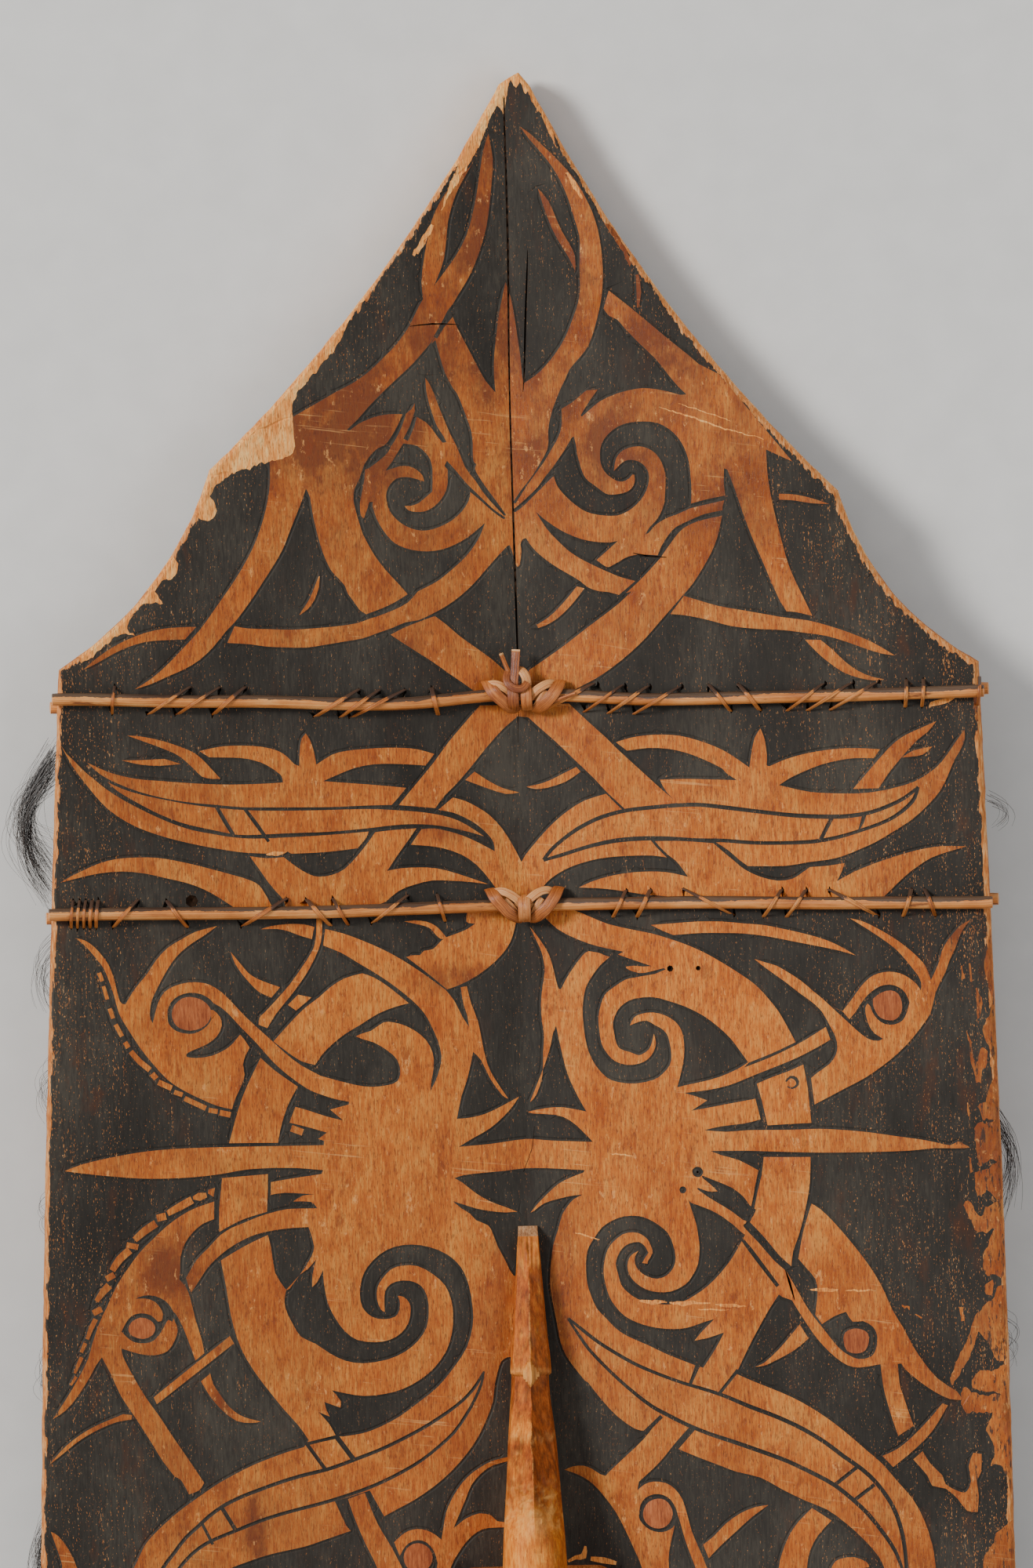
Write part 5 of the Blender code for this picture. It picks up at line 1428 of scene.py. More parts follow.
def add_front(body, loop):
    """The front, which shares the back's plan edge. Returns its points round the edge, in order."""
    edge = [body.points[i][:2] for i in loop]
    plan = Plan(edge)
    for mirror in (1, -1):
        plan.draw_text(FRONT, mirror)
        for colour, kind, points in parse(FRONT):
            plan.draw(colour, [(-x, mirror * y) for x, y in outline(kind, points)])
    tree = plan.groove_borders()
    for x in (-RIDGE_HALF, RIDGE_HALF):
        plan.lines.append([(x, 606.0 - 4.0 * i) for i in range(304)])
    plan.fill(tree, step=6.5)
    flat, drops, triangles, colours = plan.triangulate()
    edge_tree = tree_of(close_samples(edge, step=0.4))
    edge_values, worn, stain = surface_values(flat, edge_tree)
    points = []
    for (x, y), drop, away in zip(flat, drops, edge_values, strict=True):
        z = front_z(x) + drop + abs(adze(x, y, 20))
        if away < 0.9:
            z += (0.9 - away) * 0.8
        points.append((x, y, z))
    faces = [face[::-1] for face in upward(points, triangles)]
    start = body.add(points, faces, colours, edge_values, worn, stain)
    places = {(round(x, 2), round(y, 2)): start + i for i, (x, y, _) in enumerate(points)}
    numbers = []
    for x, y in edge:
        key = (round(x, 2), round(y, 2))
        if key not in places:
            key = min(places, key=lambda k: (k[0] - x) ** 2 + (k[1] - y) ** 2)
        numbers.append(places[key])
    return numbers


def add_sides(body, back_loop, front_loop):
    """The narrow sides between the back's edge and the front's, worn and a little rounded."""
    rows = [back_loop]
    count = len(back_loop)
    flat = [body.points[i][:2] for i in back_loop]
    for step in (1, 2, 3, 4):
        t = step / 5
        row = []
        for i in range(count):
            dx, dy = direction(flat, i, closed=True)
            x, y, top = body.points[back_loop[i]]
            bottom = body.points[front_loop[i]][2]
            out = 0.5 * math.sin(math.pi * t) + 0.35 * noise.noise(Vector((x / 7, y / 7, t * 3)))
            row.append((x + dy * out, y - dx * out, top + (bottom - top) * t))
        start = body.add(row, [], [], [0.0] * count, [1.0] * count)
        rows.append(list(range(start, start + count)))
    rows.append(front_loop)
    for one, two in zip(rows, rows[1:], strict=False):
        for i in range(count):
            j = (i + 1) % count
            corners = []
            for corner in (one[j], one[i], two[i], two[j]):
                if corner not in corners:
                    corners.append(corner)
            if len(corners) > 2:
                body.faces.append(corners)
                body.finishes.append("bare" if abs(flat[i][1]) > 425 else "side")


def handle_size(y):
    """The handle's half width and height at a place along it."""
    return read_along(HANDLE_STATIONS, abs(y))


def handle_bottom(y, foot):
    """The handle's underside: sunk into the board, or the roof of the hollow."""
    y = abs(y)
    if y >= HOLLOW_HALF[1]:
        return foot - 1.5
    over = max(y - (HOLLOW_HALF[1] - HOLLOW_ROUND), 0.0)
    return HOLLOW_TOP - HOLLOW_ROUND + math.sqrt(HOLLOW_ROUND**2 - over**2)


def handle_ring(y):
    """One section of the handle, anticlockwise from its right foot seen from the lower end."""
    half, height = handle_size(y)
    foot = back_z(half)
    crown = CREASE_Z + height
    bottom = handle_bottom(y, foot)
    low, brow_x, brow_z, roundness = read_along(HANDLE_FORMS, abs(y))
    shoulder = max(foot + low * (crown - foot), bottom + 0.6)
    brow = max(foot + brow_z * (crown - foot), shoulder + 0.3)
    ring = [(half, bottom + (shoulder - bottom) * i / 3) for i in range(3)]
    corners = ((half, shoulder), (half * brow_x, brow), (0.0, crown))
    flat = [blend(corners[0], corners[1], i / 4) for i in range(4)]
    flat += [blend(corners[1], corners[2], i / 10) for i in range(11)]
    for i, point in enumerate(flat):
        angle = math.radians(90.0 * i / 14)
        across = half * math.cos(angle) ** 0.8
        rise = (crown - shoulder) * math.sin(angle) ** 0.8
        ring.append(blend(point, (across, shoulder + rise), roundness))
    left = [(-x, z) for x, z in ring[:-1][::-1]]
    under = [(-half * 0.5, bottom), (0.0, bottom), (half * 0.5, bottom)]
    return [*ring, *left, *under]


def blend(one, two, t):
    """The value or values between two, t of the way."""
    if isinstance(one, tuple):
        return tuple(a + (b - a) * t for a, b in zip(one, two, strict=True))
    return one + (two - one) * t


def bell(value):
    """A bell curve, 1 at 0."""
    return math.exp(-(value**2))


def end_scoop(x, y, half, grain):
    """The ribbed scoop just in from the handle's end."""
    amount = soft_step((y - SCOOP[0]) / 4.0) * (1 - soft_step((y - SCOOP[1]) / 2.0))
    ribs = math.cos(x * 3.2)
    cut = -amount * (0.8 + 0.3 * ribs) * max(0.0, 1.0 - abs(x) / (0.8 * half))
    return cut, 0.5 * amount * max(0.0, grain + 0.4 * ribs)


def collar(x, y):
    """The lozenge on the crest, and the ledge that runs out from it to both sides."""
    inside_by = 1.0 - abs(x - LOZENGE[0]) / LOZENGE_REACH[0] - abs(y - LOZENGE[1]) / LOZENGE_REACH[1]
    lozenge = soft_step(inside_by / 0.2)
    ribs = math.cos(x * 3.3)
    brink = LEDGE - 0.12 * abs(x) + 1.6 * noise.noise(Vector((x / 2.2, 0.0, 12)))
    ledge = soft_step((brink - y) / 1.3) * (1 - soft_step((LEDGE_FADES - y) / 22.0))
    patchy = soft_step(0.2 + 1.6 * noise.noise(Vector((x / 2.4, y / 2.0, 21))))
    cut = lozenge * (1.25 + 0.45 * ribs) - 1.15 * ledge * (1 - lozenge)
    pale = lozenge * (0.65 + 0.35 * ribs)
    # The pale band just above the ledge's brink is a painted highlight, where the brink catches the light.
    pale += (0.35 + 0.5 * patchy) * bell((y - brink - 0.4) / 1.2) * (1 - lozenge)
    return cut, pale


def chip_row(x, y, inner, grain):
    """The row of chips across the handle, and the shallow step below it."""
    chip = CHIP_ROW + 2.4 * noise.noise(Vector((x / 1.7, 0.0, 9)))
    cut = 0.3 * inner * bell((y - chip) / 1.1)
    cut -= 0.3 * inner * soft_step((chip - y) / 1.2) * soft_step((y - CHIP_ROW_FADES) / 8)
    return cut, 0.7 * bell((y - chip) / 1.3) * soft_step(0.5 + 1.4 * grain)


def rough_lump(x, y, half, inner):
    """The rough lump above the grip, with its cream-coloured middle."""
    amount = soft_step((y - LUMP[0]) / 5.0) * (1 - soft_step((y - LUMP[1]) / 8.0))
    rough = noise.noise(Vector((x / 2.6, y / 3.0, 3))) + 0.8 * noise.noise(Vector((x / 1.1, y / 1.2, 4)))
    cream = bell(x / 6.0) * bell((y - LUMP_MIDDLE) / 5.5)
    cut = amount * (inner * 0.8 * rough + 0.5 * max(0.0, 1.0 - abs(x) / (0.7 * half)))
    upper = 1 - 0.5 * soft_step((y - 66.0) / 4.0)
    return cut, amount * max(0.0, 0.1 + 1.3 * rough) * upper + 0.6 * cream


def nicks(x, y):
    """The small nicks here and there."""
    cut, pale = 0.0, 0.0
    for nick_x, nick_y, reach_x, reach_y, depth, tint in HANDLE_NICKS:
        near = bell((x - nick_x) / reach_x) * bell((y - nick_y) / reach_y)
        cut -= depth * near
        pale += tint * near
    return cut, pale


def handle_carve(x, y, half):
    """How far the knife left the handle's top out from its plain form, and how pale it is there."""
    y = abs(y)
    tilt = noise.noise(Vector((x / 6, y / 14, 8)))
    grain = noise.noise(Vector((x / 1.1, y / 9, 5)))
    inner = max(0.0, 1.0 - (abs(x) / half) ** 4)
    marks = (
        (0.3 * tilt + 0.06 * grain, 0.0),
        end_scoop(x, y, half, grain),
        collar(x, y),
        chip_row(x, y, inner, grain),
        rough_lump(x, y, half, inner),
        nicks(x, y),
    )
    return sum(cut for cut, _ in marks), sum(pale for _, pale in marks)


def handle_section(y):
    """The points of one carved section, and each one's paleness and distance from the crest."""
    ring = handle_ring(y)
    half, _ = handle_size(y)
    sway = 0.55 * noise.noise(Vector((0.0, y / 26, 6)))
    points, pales, aways = [], [], []
    for i, (x, z) in enumerate(ring):
        (ax, az), (bx, bz) = ring[i - 1], ring[(i + 1) % len(ring)]
        along = max(math.hypot(bx - ax, bz - az), 1e-6)
        out_x, out_z = (bz - az) / along, (ax - bx) / along
        cut, pale = handle_carve(x, y, half) if z > CREASE_Z + 2.5 and out_z > -0.2 else (0.0, 0.0)
        lean = min(max((z - CREASE_Z) / 20, 0.0), 1.0)
        wander = 0.5 * noise.noise(Vector((0.0, y / 6.5, 16))) * max(0.0, 1.0 - abs(x) / (0.4 * half))
        points.append((x + out_x * cut + (sway + wander) * lean, y, z + out_z * cut))
        pales.append(min(pale, 1.0))
        aways.append(min(abs(x), 40.0) if i < len(ring) - 3 else 40.0)
    return points, pales, aways


def handle_sections():
    """Where the handle's sections stand: close at its ends, at its carving and at the hollow's brink."""
    upper = [171.8, 171.0, 170.0, 169.0, 168.3, 168.0] + [167.4 - 0.9 * i for i in range(144)]
    upper += [38.01, 37.9, 37.5, 36.6, 35.4, 33.6, 31.0]
    upper += [28.0 - 2.0 * i for i in range(15)]
    upper = sorted({round(y, 3) for y in upper if y >= 0}, reverse=True)
    return upper + [-y for y in reversed(upper[:-1])]


def add_handle(body):
    """The handle, lofted through close sections, with a clean-cut face at each end."""
    steps = handle_sections()
    start = len(body.points)
    for y in steps:
        points, pales, aways = handle_section(y)
        # The tone, with the handle's painted shade, goes in as the "stain" value, and the paleness, with the
        # painted highlight by the ledge, as the "worn" value.
        left, right = read_along(HANDLE_TONE_AND_SHADE, abs(y))
        tones_and_shade = [blend(left, right, soft_step(0.5 + p[0] / 2)) for p in points]
        body.add(points, [], [], aways, pales, tones_and_shade)
    count = len(points)
    for row in range(len(steps) - 1):
        along = abs(steps[row] + steps[row + 1]) / 2
        for i in range(count):
            j = (i + 1) % count
            one, two = start + row * count, start + (row + 1) * count
            body.faces.append([one + i, one + j, two + j, two + i])
            low_side = i < 1 or count - 4 <= i < count - 3
            painted = low_side and 40 < along < 170
            body.finishes.append("black" if painted else "cut" if along > 168.1 else "handle")
    for row, flip in ((0, True), (len(steps) - 1, False)):
        face = [start + row * count + i for i in range(count)]
        body.faces.append(face[::-1] if flip else face)
        body.finishes.append("cut")


def finish_mesh(name, body, finishes):
    """The body as a Blender object, in the row frame."""
    mesh = bpy.data.meshes.new(name)
    mesh.from_pydata([world(p) for p in body.points], [], body.faces)
    order = list(finishes)
    for material in finishes.values():
        mesh.materials.append(material)
    mesh.polygons.foreach_set("material_index", [order.index(f) for f in body.finishes])
    for key, values in body.values.items():
        attribute = mesh.attributes.new(key, "FLOAT", "POINT")
        attribute.data.foreach_set("value", values)
    mesh.validate()
    mesh.polygons.foreach_set("use_smooth", [True] * len(mesh.polygons))
    mesh.set_sharp_from_angle(angle=math.radians(15))
    return add_object(name, mesh)


def world(point):
    """A point in millimetres from the ridge line, as metres in the row frame."""
    x, y, z = point
    return ((x + RIDGE_X) * MM, y * MM, z * MM)


def add_object(name, mesh):
    ob = bpy.data.objects.new(name, mesh)
    bpy.context.scene.collection.objects.link(ob)
    return ob


def build_body(finishes):
    """The carved body: one piece for the board and the handle, as it was cut from one plank."""
    body = Carving()
    back_loop = add_back(body)
    front_loop = add_front(body, back_loop)
    add_sides(body, back_loop, front_loop)
    add_handle(body)
    ob = finish_mesh("carved_body", body, finishes)
    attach(ob, "root")
    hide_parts("board", "handle")


def cane_line(row, x):
    """A back cane's place along the shield, at x."""
    line = BACK_CANES[row]
    for (x0, y0), (x1, y1) in zip(line, line[1:], strict=False):
        if x <= x1:
            t = min(max((x - x0) / (x1 - x0), 0.0), 1.0)
            return y0 + (y1 - y0) * t * t * (3 - 2 * t)
    return line[-1][1]


def back_cane_z(x):
    """Height of a back cane's axis. It bends softly where it crosses the crease."""
    clear = (CANE_RADIUS + CANE_GAP) * math.hypot(1.0, BACK_RISE)
    return CREASE_Z + clear + math.hypot(BACK_RISE * x, CREASE_BEND)


def front_cane_z(x):
    """Height of a front cane's axis, which is level under the flat of the ridge."""
    clear = (CANE_RADIUS + CANE_GAP) * math.hypot(1.0, UNDER_RISE)
    return max(front_z(x) - clear, RIDGE_Z - CANE_GAP - CANE_RADIUS)


class Strands:
    """The mesh of a piece that is made of canes and strips, with what its finish reads."""

    def __init__(self):
        self.points = []
        self.faces = []
        self.values = {"across": [], "along": [], "tone": [], "paint": [], "rim": []}

    def sweep(self, path, ups, sections, tone=0.5, paint=None, painted=None, frayed=False):
        """A closed section carried along a path. Each section is a ring of (across, up) offsets."""
        path = [Vector(p) for p in path]
        start, size, run = len(self.points), len(sections[0]), 0.0
        for i, (point, up, section) in enumerate(zip(path, ups, sections, strict=True)):
            ahead = path[min(i + 1, len(path) - 1)] - path[max(i - 1, 0)]
            ahead.normalize()
            side = ahead.cross(Vector(up)).normalized()
            rise = side.cross(ahead)
            run += (point - path[i - 1]).length if i else 0.0
            around = 0.0
            for j, (across, lift) in enumerate(section):
                self.points.append(tuple(point + side * across + rise * lift))
                around += math.dist(section[j], section[j - 1]) if j else 0.0
                self.values["across"].append(around)
                self.values["along"].append(run)
                self.values["tone"].append(tone if i < len(path) - 2 or not frayed else 1.2)
                self.values["rim"].append(RIM[j] if size == len(RIM) else 0.0)
                toward = (side * across + rise * lift).normalized().y
                self.values["paint"].append(painted[i] if painted else paint * toward if paint else 0.0)
        for i in range(len(path) - 1):
            for j in range(size):
                k = (j + 1) % size
                one, two = start + i * size, start + (i + 1) * size
                self.faces.append([one + j, one + k, two + k, two + j])
        self.faces.append([start + j for j in range(size)][::-1])
        self.faces.append([start + (len(path) - 1) * size + j for j in range(size)])

    def finish(self, name, material, slot, *nodes):
        """The strands as an object that rides on the shield and stands for the CAD nodes named."""
        mesh = bpy.data.meshes.new(name)
        mesh.from_pydata([world(p) for p in self.points], [], self.faces)
        mesh.materials.append(material)
        for key, values in self.values.items():
            attribute = mesh.attributes.new(key, "FLOAT", "POINT")
            attribute.data.foreach_set("value", values)
        mesh.validate()
        mesh.polygons.foreach_set("use_smooth", [True] * len(mesh.polygons))
        mesh.set_sharp_from_angle(angle=math.radians(40))
        ob = add_object(name, mesh)
        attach(ob, "root")
        if nodes:
            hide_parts(*nodes)
        return ob


# How near each point of a strip's section is to its edges, from 0 to 1, for the painted shade along them.
RIM = (1.0, 1.0, 1.0, 1.0, 0.5, 0.0, 0.0, 0.0, 0.5)


def strip_section(width, thick, crown=0.25):
    """The section of a split strip: flat below, slightly domed above, with soft edges."""
    half = width / 2
    top = [(-half * k, thick * (1 - crown * k * k)) for k in (0.9, 0.5, 0.0, -0.5, -0.9)]
    return [(-half, thick * 0.45), (-half * 0.92, 0.0), (half * 0.92, 0.0), (half, thick * 0.45)] + [
        (-x, z) for x, z in top
    ]


def round_section(radius, seed, place, sides=20):
    """The section of a whole cane, with the low ribs of its skin."""
    ring = []
    for j in range(sides):
        angle = 2 * math.pi * j / sides
        rib = 0.07 * noise.noise(Vector((angle * 3, place / 45, seed)))
        swell = 0.10 * noise.noise(Vector((0.0, place / 30, seed + 3)))
        reach = radius - 0.03 + rib + swell
        ring.append((reach * math.cos(angle), reach * math.sin(angle)))
    return ring


def smooth_path(points, step=0.8):
    """A smooth run through a strip's points, closely spaced."""
    path = []
    for i in range(len(points) - 1):
        start, end = points[i], points[i + 1]
        before = points[i - 1] if i else start
        after = points[i + 2] if i + 2 < len(points) else end
        steps = max(2, round(math.dist(start, end) / step))
        path += [between(before, start, end, after, j / steps) for j in range(steps)]
    return [*path, tuple(points[-1])]


def add_cane(strands, path, seed, painted):
    """A whole cane with roughly cut ends."""
    ups = [(0.0, 0.0, 1.0)] * len(path)
    sections = []
    for i, point in enumerate(path):
        last = min(i, len(path) - 1 - i)
        sections.append(round_section(CANE_RADIUS * (0.93 if last == 0 else 1.0), seed, point[0]))
    strands.sweep(path, ups, sections, tone=0.55, paint=painted)


def stitch(strands, holes, axis, under, width, tone):
    """A strip from one hole to the other, tight over a cane.

    holes are (x, y) on each side of the cane, axis is the cane's (y, z) there, and under is the height
    of the wood. On the front, heights run down instead of up.
    """
    (x0, y0), (x1, y1) = holes
    centre_y, centre_z = axis
    facing = 1.0 if centre_z > under else -1.0
    lift = abs(centre_z - under)
    reach = CANE_RADIUS + 0.22
    flat = []
    for y in (y0, y1):
        off = y - centre_y
        down = -1.3 - lift
        span = math.hypot(off, down)
        angle = math.atan2(down, abs(off)) + math.acos(min(reach / span, 1.0))
        flat.append((off, down, angle))
    (off0, down0, angle0), (off1, down1, angle1) = flat
    route = [(off0, down0), (off0 * 0.97, down0 + 0.9)]
    sign = 1 if off0 > 0 else -1
    steps = 9
    for i in range(steps + 1):
        angle = angle0 + (math.pi - angle0 - angle1) * i / steps
        route.append((sign * reach * math.cos(angle), reach * math.sin(angle)))
    route += [(off1 * 0.97, down1 + 0.9), (off1, down1)]
    path, ups = [], []
    for off, rise in route:
        t = (off - off0) / (off1 - off0)
        path.append((x0 + (x1 - x0) * t, centre_y + off, centre_z + facing * rise))
        ups.append((0.0, off * 0.9, facing * max(rise + 0.6, 0.8)))
    fine = smooth_path(path, step=0.7)
    fine_ups = smooth_path(ups, step=0.2)
    fine_ups = [fine_ups[round(i * (len(fine_ups) - 1) / (len(fine) - 1))] for i in range(len(fine))]
    sections = []
    for i in range(len(fine)):
        waver = 1 + 0.08 * noise.noise(Vector((i / 5, x0, 7)))
        sections.append(strip_section(width * waver, 0.55))
    outer = math.copysign(1.0, centre_y)
    painted = [0.12 + (p[1] - centre_y) * outer / 4.2 for p in fine] if facing > 0 else None
    strands.sweep(fine, fine_ups, sections, tone, painted=painted)


def add_back_cane(row, end, finishes):
    """A back cane and its lacing on the back."""
    label = f"{'upper' if end > 0 else 'lower'}_{row}"
    line = BACK_CANES[row]
    left, right = line[0][0], line[-1][0]
    steps = round((right - left) / 2.5)
    path = []
    for i in range(steps + 1):
        x = left + (right - left) * i / steps
        path.append((x, end * cane_line(row, x), back_cane_z(x)))
    cane = Strands()
    add_cane(cane, path, end * 3 + len(row), painted=end)
    cane.finish(f"back_cane_{label}", finishes["rattan"], "rattan", f"back_cane_{label}")
    lacing = Strands()
    draw = random.Random(len(row) * 10 + end)
    for low, high in LACING[row]:
        middle = (low + high) / 2
        y = end * cane_line(row, middle)
        holes = ((low, y - end * HOLE_OFF), (high, y + end * HOLE_OFF))
        narrow = abs(high - low) < 2.5
        width = draw.uniform(1.1, 1.5) if narrow else draw.uniform(1.3, 1.8)
        stitch(lacing, holes, (y, back_cane_z(middle)), back_z(middle), width, draw.uniform(0.2, 0.8))
    lacing.finish(f"back_lacing_{label}", finishes["lacing"], "split_rattan")


def add_front_cane(row, end, finishes):
    """A front cane and its lacing, which comes through the same holes."""
    label = f"{'upper' if end > 0 else 'lower'}_{row}"
    left, right, along = FRONT_CANES[row]
    y = end * along
    steps = round((right - left) / 3.0)
    path = []
    for i in range(steps + 1):
        x = left + (right - left) * i / steps
        path.append((x, y, front_cane_z(x)))
    cane = Strands()
    add_cane(cane, path, end * 5 + len(row), painted=None)
    cane.finish(f"front_cane_{label}", finishes["rattan"], "rattan", f"front_cane_{label}")
    lacing = Strands()
    draw = random.Random(len(row) * 10 + end + 5)
    places = LACING[row]
    for (_, high), (low, _) in zip(places, places[1:], strict=False):
        middle = (low + high) / 2
        if abs(low - high) > 30 or abs(middle) < RIDGE_HALF + 6:
            continue
        holes = ((low, y - end * HOLE_OFF), (high, y + end * HOLE_OFF))
        axis = (y, front_cane_z(middle))
        stitch(lacing, holes, axis, front_z(middle), draw.uniform(1.6, 2.2), draw.uniform(0.2, 0.8))
    lacing.finish(f"front_lacing_{label}", finishes["lacing"], "split_rattan")


def add_knot(row, end, finishes):
    """A plaited knot, strip by strip, over the middle of a back cane."""
    label = f"{'upper' if end > 0 else 'lower'}_{row}"
    base = end * cane_line(row, 0.0)
    knot = Strands()
    for width, tone, points in KNOTS[row]:
        path, ups = [], []
        for x, y, z in smooth_path(points, step=0.7):
            path.append((x, base + end * y, back_cane_z(x) + z))
            ups.append((0.0, end * y * 0.45, max(z, -1.0) + 3.0))
        sections = []
        for i in range(len(path)):
            waver = 1 + 0.06 * noise.noise(Vector((i / 6, width, 7)))
            sections.append(strip_section(width * waver, 0.7, crown=0.3))
        knot.sweep(path, ups, sections, tone, frayed=points[-1][1] > 12)
    knot.finish(f"knot_{label}", finishes["knot"], "split_rattan", f"knot_{label}")


def add_hair(finishes):
    """Tufts of long hair from the front, seen past the edges, with a few strays."""
    hair = Strands()
    draw = random.Random(11)
    for sign, start, end, bulge, count in HAIR:
        for _ in range(count):
            y = start + draw.gauss(0, 3.5)
            drop = (start - end) * draw.uniform(0.75, 1.1)
            loose = draw.uniform(0.0, 1.0) ** 3
            inner = (188.0 if sign > 0 else 186.0) - draw.uniform(1.5, 6.0)
            out = bulge * (0.85 + loose * draw.gauss(0.25, 0.35) + draw.uniform(-0.14, 0.14))
            height = front_z(inner) - draw.uniform(0.4, 2.0)
            back_in = -1.0 + (draw.uniform(-7.0, 6.0) * (0.25 + loose))
            points = []
            for t in (0.0, 0.15, 0.35, 0.6, 0.8, 1.0):
                arch = math.sin(math.pi * t**1.25)
                x = inner + 4.0 * min(t * 4, 1) + out * arch + back_in * t * t
                z = height - 5.0 * t + 2.0 * draw.uniform(-1, 1) * t
                points.append((sign * x, y - drop * t, max(z, 0.8)))
            path = smooth_path(points, step=4.0)
            thick = draw.uniform(0.07, 0.12)
            sections = []
            for i in range(len(path)):
                thin = thick * (1 - 0.6 * i / len(path))
                sections.append([(thin * math.cos(a), thin * math.sin(a)) for a in THIRDS])
            hair.sweep(path, [(0.0, 0.0, 1.0)] * len(path), sections, draw.random())
    hair.finish("hair_tufts", finishes["hair"], "hair")


def srgb(red, green, blue):
    """A colour as screens name it, from 0 to 255, in the linear values that a shader takes."""
    values = []
    for value in (red, green, blue):
        value /= 255
        values.append(value / 12.92 if value <= 0.04045 else ((value + 0.055) / 1.055) ** 2.4)
    return (*values, 1.0)


class Finish:
    """A material under construction, with short names for its nodes."""

    def __init__(self, name):
        self.material = bpy.data.materials.new(name)
        self.material.use_nodes = True
        self.tree = self.material.node_tree
        self.shader = self.tree.nodes["Principled BSDF"]
        self.place = self.tree.nodes.new("ShaderNodeTexCoord").outputs["Object"]

    def add(self, kind, values, **settings):
        """A new node. Values are its sockets' numbers, or the sockets that feed them."""
        node = self.tree.nodes.new(kind)
        for key, value in settings.items():
            setattr(node, key, value)
        for key, value in values.items():
            if isinstance(value, bpy.types.NodeSocket):
                self.tree.links.new(value, node.inputs[key])
            else:
                node.inputs[key].default_value = value
        return node

    def stretch(self, scale, move, turn):
        """The place scaled by so much on each axis, in repeats per metre, and turned by so much."""
        source = self.place
        if turn:
            turned = self.add("ShaderNodeMapping", {"Vector": source, "Rotation": (0.0, 0.0, turn)})
            source = turned.outputs["Vector"]
        node = self.add("ShaderNodeMapping", {"Vector": source})
        node.inputs["Scale"].default_value = scale
        node.inputs["Location"].default_value = move
        return node.outputs["Vector"]

    def noise(self, vector, detail=2.0, rough=0.5, twist=0.0):
        values = {"Vector": vector, "Scale": 1.0, "Detail": detail, "Roughness": rough}
        return self.add("ShaderNodeTexNoise", {**values, "Distortion": twist}).outputs["Fac"]

    def read(self, name):
        return self.add("ShaderNodeAttribute", {}, attribute_name=name).outputs["Fac"]

    def pattern(self, scale, move=(0.0, 0.0, 0.0), turn=0.0, **looks):
        """Noise at so many repeats per metre on each axis."""
        return self.noise(self.stretch(scale, move=move, turn=turn), **looks)

    def operate(self, operation, one, two, clamp=False):
        node = self.add("ShaderNodeMath", {0: one, 1: two}, operation=operation, use_clamp=clamp)
        return node.outputs["Value"]

    def plus(self, one, two):
        return self.operate("ADD", one, two)

    def minus(self, one, two):
        return self.operate("SUBTRACT", one, two)

    def times(self, one, two, clamp=False):
        return self.operate("MULTIPLY", one, two, clamp)

    def larger(self, one, two):
        return self.operate("MAXIMUM", one, two)

    def step(self, value, low, high, to_low=0.0, to_high=1.0):
        """The value spread so that low gives to_low and high gives to_high, smoothly."""
        values = {0: value, 1: low, 2: high, 3: to_low, 4: to_high}
        return self.add("ShaderNodeMapRange", values, interpolation_type="SMOOTHSTEP").outputs["Result"]

    def ramp(self, value, *stops):
        """A colour from stops of (place, colour)."""
        node = self.add("ShaderNodeValToRGB", {"Fac": value})
        marks = node.color_ramp.elements
        while len(marks) < len(stops):
            marks.new(0.5)
        for mark, (place, colour) in zip(marks, stops, strict=True):
            mark.position = place
            mark.color = colour
        return node.outputs["Color"]

    def mix(self, amount, one, two):
        return self.add("ShaderNodeMix", {0: amount, 6: one, 7: two}, data_type="RGBA").outputs[2]

    def bump(self, height, strength, distance=0.0004):
        node = self.add("ShaderNodeBump", {"Height": height, "Strength": strength, "Distance": distance})
        self.tree.links.new(node.outputs["Normal"], self.shader.inputs["Normal"])

    def done(self, colour, roughness, sheen=0.3):
        self.tree.links.new(colour, self.shader.inputs["Base Color"])
        if isinstance(roughness, bpy.types.NodeSocket):
            self.tree.links.new(roughness, self.shader.inputs["Roughness"])
        else:
            self.shader.inputs["Roughness"].default_value = roughness
        self.shader.inputs["Specular IOR Level"].default_value = sheen
        return self.material


def wood_grain(finish, dark, middle, light):
    """The colour of bare wood with upright grain, broad patches and short dark pores."""
    fine = finish.pattern((1400.0, 150.0, 500.0), detail=4.0, rough=0.65, twist=0.2)
    broad = finish.pattern((70.0, 38.0, 50.0), detail=6.0, rough=0.68, twist=0.5)
    tone = finish.plus(finish.times(fine, 0.62), finish.times(broad, 0.48))
    colour = finish.ramp(tone, (0.43, dark), (0.55, middle), (0.67, light))
    pores = finish.pattern((2600.0, 430.0, 900.0), move=(3.0, 1.0, 7.0), detail=2.0)
    pore = finish.step(pores, 0.56, 0.66)
    return colour, fine, broad, pore


